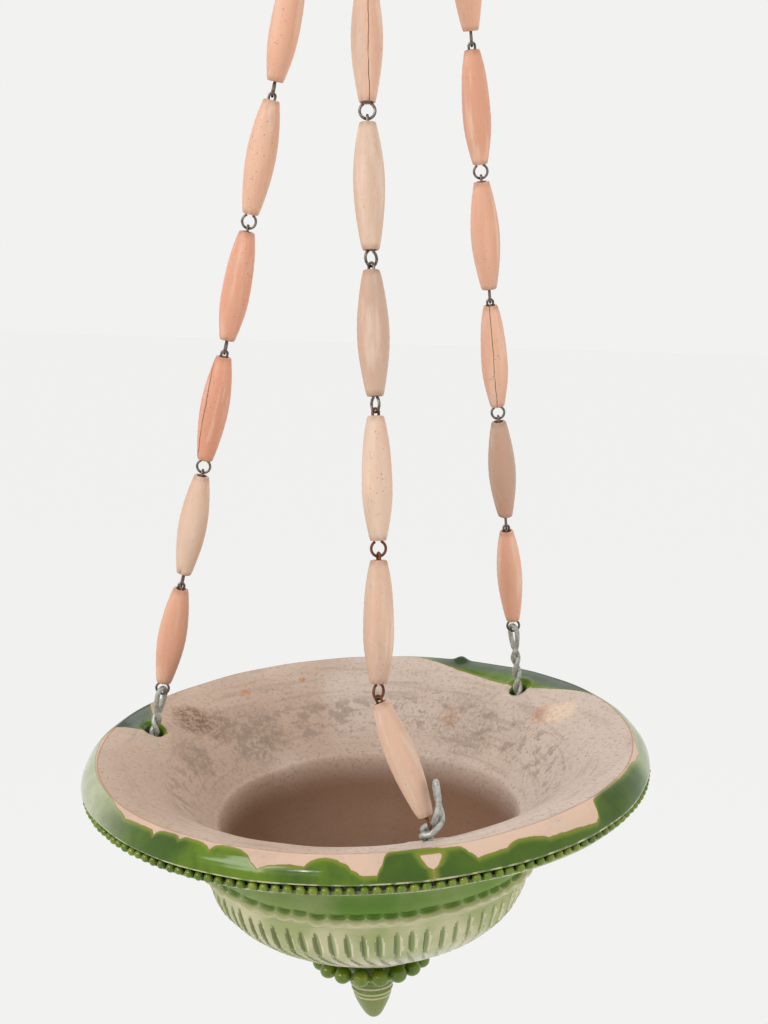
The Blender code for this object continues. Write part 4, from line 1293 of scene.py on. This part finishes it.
# %% Wire helper
def wire(name, path, thickness, material, matrix=None, closed=False, roundness=3):
    """A round wire along a path of points in metres."""
    curve = bpy.data.curves.new(name, "CURVE")
    curve.dimensions = "3D"
    curve.bevel_depth = thickness / 2
    curve.bevel_resolution = roundness
    curve.use_fill_caps = True
    spline = curve.splines.new("POLY")
    spline.points.add(len(path) - 1)
    for place, point in zip(spline.points, path):
        place.co = (*point, 1.0)
    spline.use_cyclic_u = closed
    curve.materials.append(material)
    return stand(name, curve, matrix)


def arc(centre, radius, start_deg, end_deg, count):
    """Points on an arc in a plane, both ends included."""
    turns = np.radians(np.linspace(start_deg, end_deg, count))
    return [(centre[0] + radius * math.cos(a), centre[1] + radius * math.sin(a)) for a in turns]


def metal_finish(name, colour, dull, stain, stain_share, roughness, metallic):
    """Drawn wire: a duller skin, stains over a share of it, and fine pitting."""
    finish = Finish(name)
    skin = finish.ramp(finish.noise(500, 4, 0.6), 0.4, 0.65)
    tone = finish.mix(skin, colour, dull)
    start, end = 0.60 - 0.25 * stain_share, 0.72 - 0.2 * stain_share
    spots = finish.ramp(finish.noise(230, 5, 0.65), start, end)
    tone = finish.mix(finish.times(spots, min(1.0, 0.3 + stain_share)), tone, stain)
    rough = finish.ramp(skin, 0.0, 1.0, roughness, roughness + 0.2)
    normal = finish.bump(finish.noise(1800, 3), 0.12 * MM, 0.5)
    return finish.finish(tone, rough, normal, metallic)


METALS = {
    "drawn_steel": ((132, 122, 112), (92, 84, 78), (92, 62, 44), 0.25, 0.34, 0.9),
    "rusty_steel": ((108, 96, 86), (84, 70, 60), (120, 70, 42), 0.9, 0.5, 0.6),
    "galvanised_wire": ((186, 188, 180), (152, 154, 146), (132, 126, 114), 0.25, 0.46, 0.35),
    "hook_steel": ((160, 157, 150), (122, 118, 112), (110, 84, 64), 0.2, 0.36, 0.9),
}
link_steel, rusty_steel, zinc, hook_steel = (
    metal_finish(name, paint(*colour), paint(*dull), paint(*stain), *rest)
    for name, (colour, dull, stain, *rest) in METALS.items()
)
print("wire finishes ready")

# %% [markdown]
# ## Links
# One wire threads each bead. Above the bead it is bent to a narrow eye, which hangs on the
# ring of the bead above. Below the bead it makes a round ring, and its end is tucked back into
# the bore. Eye and ring stand square to each other, or nearly, so that the chain can flex both
# ways. The last links of the front chain are kinked and rusty. Each path follows the plain
# solid's, with more points on the bends.

# %% Links on their bodies
LINK_WIRE = 1.4 * MM
LINK_RING_RADIUS = 3.7 * MM
LINK_RING_DROP = 3.85 * MM
LINK_SLACK = 0.3 * MM
LINK_TUCK = 1.3 * MM
TOP_RING_WIRE = 3 * MM
TOP_EYE_SLACK = 0.6 * MM
SIDE_RING_TURNS_DEG = (0, 90, 0, 90, 0, 90, 0, 90, 0)
FRONT_RING_TURNS_DEG = (90, 0, 90, 0, 45, 120, 20, 50, 90)
FIRST_RUSTY_FRONT_LINK = 7
STRAND = LINK_WIRE + LINK_SLACK
EYE_POINTS = 13
LINK_RING_POINTS = 37


def link_path(drop, top_radius, eye_turn, ring_turn):
    """A link's wire: from its tucked end over the eye, down again and round the ring."""
    ring_height = -drop - BEAD_LENGTH - LINK_RING_DROP
    leave = math.degrees(math.acos(STRAND / LINK_RING_RADIUS))

    def turned(points, turn_deg):
        swing = Matrix.Rotation(math.radians(turn_deg), 4, "Z")
        return [swing @ Vector((across, 0, height)) for across, height in points]

    tuck_height = ring_height + LINK_RING_RADIUS * math.sin(math.radians(leave)) + LINK_TUCK
    eye = arc((0, 0), top_radius, 180, 0, EYE_POINTS)
    if top_radius > STRAND:
        eye = [(-STRAND, -2 * top_radius)] + eye + [(STRAND, -2 * top_radius)]
    ring = arc((0, ring_height), LINK_RING_RADIUS, leave, -180 - leave, LINK_RING_POINTS)
    tuck = turned([(-STRAND, tuck_height)], ring_turn)
    return tuck + turned(eye, eye_turn) + turned(ring, ring_turn)


for chain in CHAINS:
    turns = FRONT_RING_TURNS_DEG if chain == "front" else SIDE_RING_TURNS_DEG
    eye_turn = 90
    for number, ring_turn in enumerate(turns, start=1):
        pivot, up, drop = station(chain, number)
        top_radius = (TOP_RING_WIRE + LINK_WIRE) / 2 + TOP_EYE_SLACK if number == 1 else STRAND
        rusty = chain == "front" and number >= FIRST_RUSTY_FRONT_LINK
        path = link_path(drop, top_radius, eye_turn, ring_turn)
        link = wire(f"{chain}_wire_{number}", path, LINK_WIRE,
                    rusty_steel if rusty else link_steel, chain_frame(up, pivot))
        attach(link, f"{chain}_link_{number}")
        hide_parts(f"{chain}_link_{number}")
        eye_turn = ring_turn + 90
print("links:", len(CHAINS) * BEADS_PER_CHAIN)

# %% [markdown]
# ## Rim wires
# At the brim each chain ends in thicker wire, zinc coated, doubled and twisted. It passes
# through the last ring, down through a hole, and its two ends are bent apart underneath, where
# they hold. A twist is a pair of helices. They are computed, then eased through the narrow eye
# above.

# %% Rim wires on the left and right
RIM_WIRE = 3 * MM
TWIST_RADIUS = 1.6 * MM
TWIST_PITCH = {"left": 19 * MM, "right": 20 * MM, "front": 11 * MM}
TWIST_STEPS = 10
EYE_LENGTH = 15 * MM
EYE_HALF_WIDTH = 3.8 * MM
EYE_TURN_DEG = {"left": 12, "right": -15, "front": 0}
TWIST_HAND = {"left": -1, "right": 1, "front": 1}
ARCH_SLACK = 1.4 * MM
TAIL_LENGTH = 12 * MM
TAIL_BEND = 3.4 * MM
EYE_SHARES = ((0.30, 0.78), (0.62, 1.0), (0.88, 0.82))
UNDERSIDE_DEPTH = 19.4
TOUCH = 0.3


def rim_wire_frame(chain):
    """The hole's frame for a rim wire: X runs along the brim, Z up the wire."""
    up = wire_axis(chain)
    degrees = math.radians(HOLE_ANGLES_DEG[chain])
    side = bowl_frame.to_3x3() @ Vector((-math.sin(degrees), math.cos(degrees), 0))
    turned = Matrix((side, up.cross(side).normalized(), up)).transposed().to_4x4()
    turned.translation = hole_place(chain)
    return turned


def tail_height(chain):
    """How far below the hole's mouth a rim wire's ends pass under the brim."""
    down = (UNDERSIDE_DEPTH + TOUCH - HOLE_MOUTH_DEPTH) * MM + RIM_WIRE / 2
    return down / wire_axis(chain).dot(bowl_up)


def twist(chain, twist_top):
    """Where a rim wire's twist starts, and how far it turns on its way up."""
    start = TAIL_BEND - tail_height(chain)
    half_turns = round(2 * (twist_top - start) / TWIST_PITCH[chain])
    angle = math.pi * half_turns + math.radians(EYE_TURN_DEG[chain])
    return start, angle * TWIST_HAND[chain]


def rim_wire_half(chain, twist_top, sign):
    """One strand from its bent end under the brim up the twist, ending at the eye's foot."""
    foot = -tail_height(chain)
    start, angle = twist(chain, twist_top)
    points = [
        Vector((sign * TAIL_LENGTH, 0, foot)),
        Vector((sign * (TWIST_RADIUS + TAIL_BEND), 0, foot)),
        Vector((sign * (TWIST_RADIUS + TAIL_BEND / 3), 0, foot + TAIL_BEND / 3)),
    ]
    steps = round(abs(angle) / TAU * TWIST_STEPS)
    for step in range(steps + 1):
        turned = angle * step / steps
        reach = sign * TWIST_RADIUS
        height = start + (twist_top - start) * step / steps
        points.append(Vector((reach * math.cos(turned), reach * math.sin(turned), height)))
    return points


def side_rim_wire(chain):
    """Two twisted strands joined by an upright eye."""
    pivot, up, drop = station(chain, BEADS_PER_CHAIN)
    bead_foot = pivot - up * (drop + BEAD_LENGTH)
    foot_length = (bead_foot - hole_place(chain)).length
    over_ring = (LINK_WIRE + RIM_WIRE) / 2 + ARCH_SLACK
    arch = foot_length - LINK_RING_DROP - LINK_RING_RADIUS + over_ring
    twist_top = arch - EYE_LENGTH
    _, angle = twist(chain, twist_top)
    across = Vector((math.cos(angle), math.sin(angle), 0)) * EYE_HALF_WIDTH
    up_wire = Vector((0, 0, 1))
    loop = [across * out + up_wire * (twist_top + EYE_LENGTH * rise) for rise, out in EYE_SHARES]
    back = [Vector((-point.x, -point.y, point.z)) for point in reversed(loop)]
    turned = rim_wire_frame(chain)
    first = rim_wire_half(chain, twist_top, 1)
    second = rim_wire_half(chain, twist_top, -1)
    path = first + loop + [up_wire * arch] + back + list(reversed(second))
    return [turned @ point for point in path]


print("side wires:", [len(side_rim_wire(chain)) for chain in ("left", "right")], "places")

# %% [markdown]
# ## The bent front wire
# The front wire was bent again later: a leg passes through the ring, and the loop stands up
# beside the last bead. No formula gives such a bend, so its route is a list of places, given
# as shares of the loop's height, counted from the hole's mouth or from the ring.

# %% The front rim wire, and all three on the bowl
FRONT_TWIST_TOP = 1.5 * MM
FRONT_LOOP_HEIGHT = 30.5 * MM
FRONT_SEAT_SLACK = 0.7 * MM
FAR_LEG_SHARES = (
    (-0.092, -0.085, 0.118), (0.052, -0.144, 0.180), (0.197, -0.046, 0.311),
    (0.216, 0.030, 0.410), (0.180, 0.082, 0.525), (0.131, 0.085, 0.689),
    (0.092, 0.066, 0.885), (0.094, 0.046, 0.970),
)
NEAR_LEG_SHARES = (
    (0.098, 0.0, 1.0), (0.108, -0.046, 0.970), (0.125, -0.066, 0.885),
    (0.151, -0.095, 0.672), (0.118, -0.111, 0.492),
)
INTO_RING_SHARES = ((0.074, -0.074, 0.044),)
OUT_OF_RING_SHARES = ((-0.090, 0.030, -0.120),)
BEHIND_SHARES = ((0.013, 0.079, 0.085),)
RIM_WIRE_SPACING = 0.9 * MM


def front_rim_wire():
    """The near leg passes down through the last ring and behind the far leg."""
    turned = rim_wire_frame("front")
    strands = [[turned @ p for p in rim_wire_half("front", FRONT_TWIST_TOP, s)] for s in (1, -1)]
    left, right = sorted(strands, key=lambda strand: strand[-1].x)
    mouth = hole_place("front")
    pivot, up, drop = station("front", BEADS_PER_CHAIN)
    ring = pivot - up * (drop + BEAD_LENGTH + LINK_RING_DROP)
    seat = LINK_RING_RADIUS - (LINK_WIRE + RIM_WIRE) / 2 - FRONT_SEAT_SLACK

    def steps_from(start, shares):
        return [start + Vector(share) * FRONT_LOOP_HEIGHT for share in shares]

    through = steps_from(ring, INTO_RING_SHARES) + [ring - up * seat]
    through += steps_from(ring, OUT_OF_RING_SHARES) + steps_from(mouth, BEHIND_SHARES)
    legs = steps_from(mouth, FAR_LEG_SHARES) + steps_from(mouth, NEAR_LEG_SHARES)
    return left + legs + through + list(reversed(right))


for chain in CHAINS:
    route = front_rim_wire() if chain == "front" else side_rim_wire(chain)
    path = eased([tuple(point) for point in route], RIM_WIRE_SPACING)
    rim_wire = wire(f"{chain}_twisted_wire", path, RIM_WIRE, zinc, roundness=4)
    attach(rim_wire, "bowl")
    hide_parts(f"{chain}_rim_wire")
    print(chain, "rim wire:", len(path), "points")

# %% [markdown]
# ## Ring and S-hook
# The chains meet on a welded ring, and an S-hook hangs the ring from whatever carries the
# planter. Both are plain bends of thicker wire, so the same helper makes them.

# %% Ring and S-hook
HOOK_WIRE = 4 * MM
HOOK_RADIUS = 9 * MM
HOOK_STEP_DEG = 5
HOOK_TIP_DEG = -30
HOOK_CROSS_DEG = 225
RING_RADIUS = 19 * MM
RING_POINTS = 96
GAP = 0.3 * MM

hook_inner = HOOK_RADIUS - HOOK_WIRE / 2
hook_span = math.sqrt(2) * 2 * HOOK_RADIUS
count = (HOOK_CROSS_DEG - HOOK_TIP_DEG) // HOOK_STEP_DEG + 1
upper_bend = arc((0, -hook_inner), HOOK_RADIUS, HOOK_TIP_DEG, HOOK_CROSS_DEG, count)
lower_bend = [(-y, -2 * hook_inner - hook_span - z) for y, z in reversed(upper_bend)]
hook_path = [(0, y, z) for y, z in upper_bend + lower_bend]
hook = wire("bent_hook", hook_path, HOOK_WIRE, hook_steel, roundness=5)
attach(hook, "s_hook")
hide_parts("s_hook")

hook_foot = Vector(joints["ring_swing"]["pos_m"])
ring_middle = hook_foot + Vector((0, 0, (HOOK_WIRE + TOP_RING_WIRE) / 2 + GAP - RING_RADIUS))
ring_path = [
    ring_middle + Vector((across, 0, height))
    for across, height in arc((0, 0), RING_RADIUS, 0, 360, RING_POINTS + 1)[:-1]
]
top_ring = wire("welded_ring", ring_path, TOP_RING_WIRE, hook_steel, closed=True, roundness=4)
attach(top_ring, "gathering_ring")
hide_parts("gathering_ring")
print("ring and hook dressed")
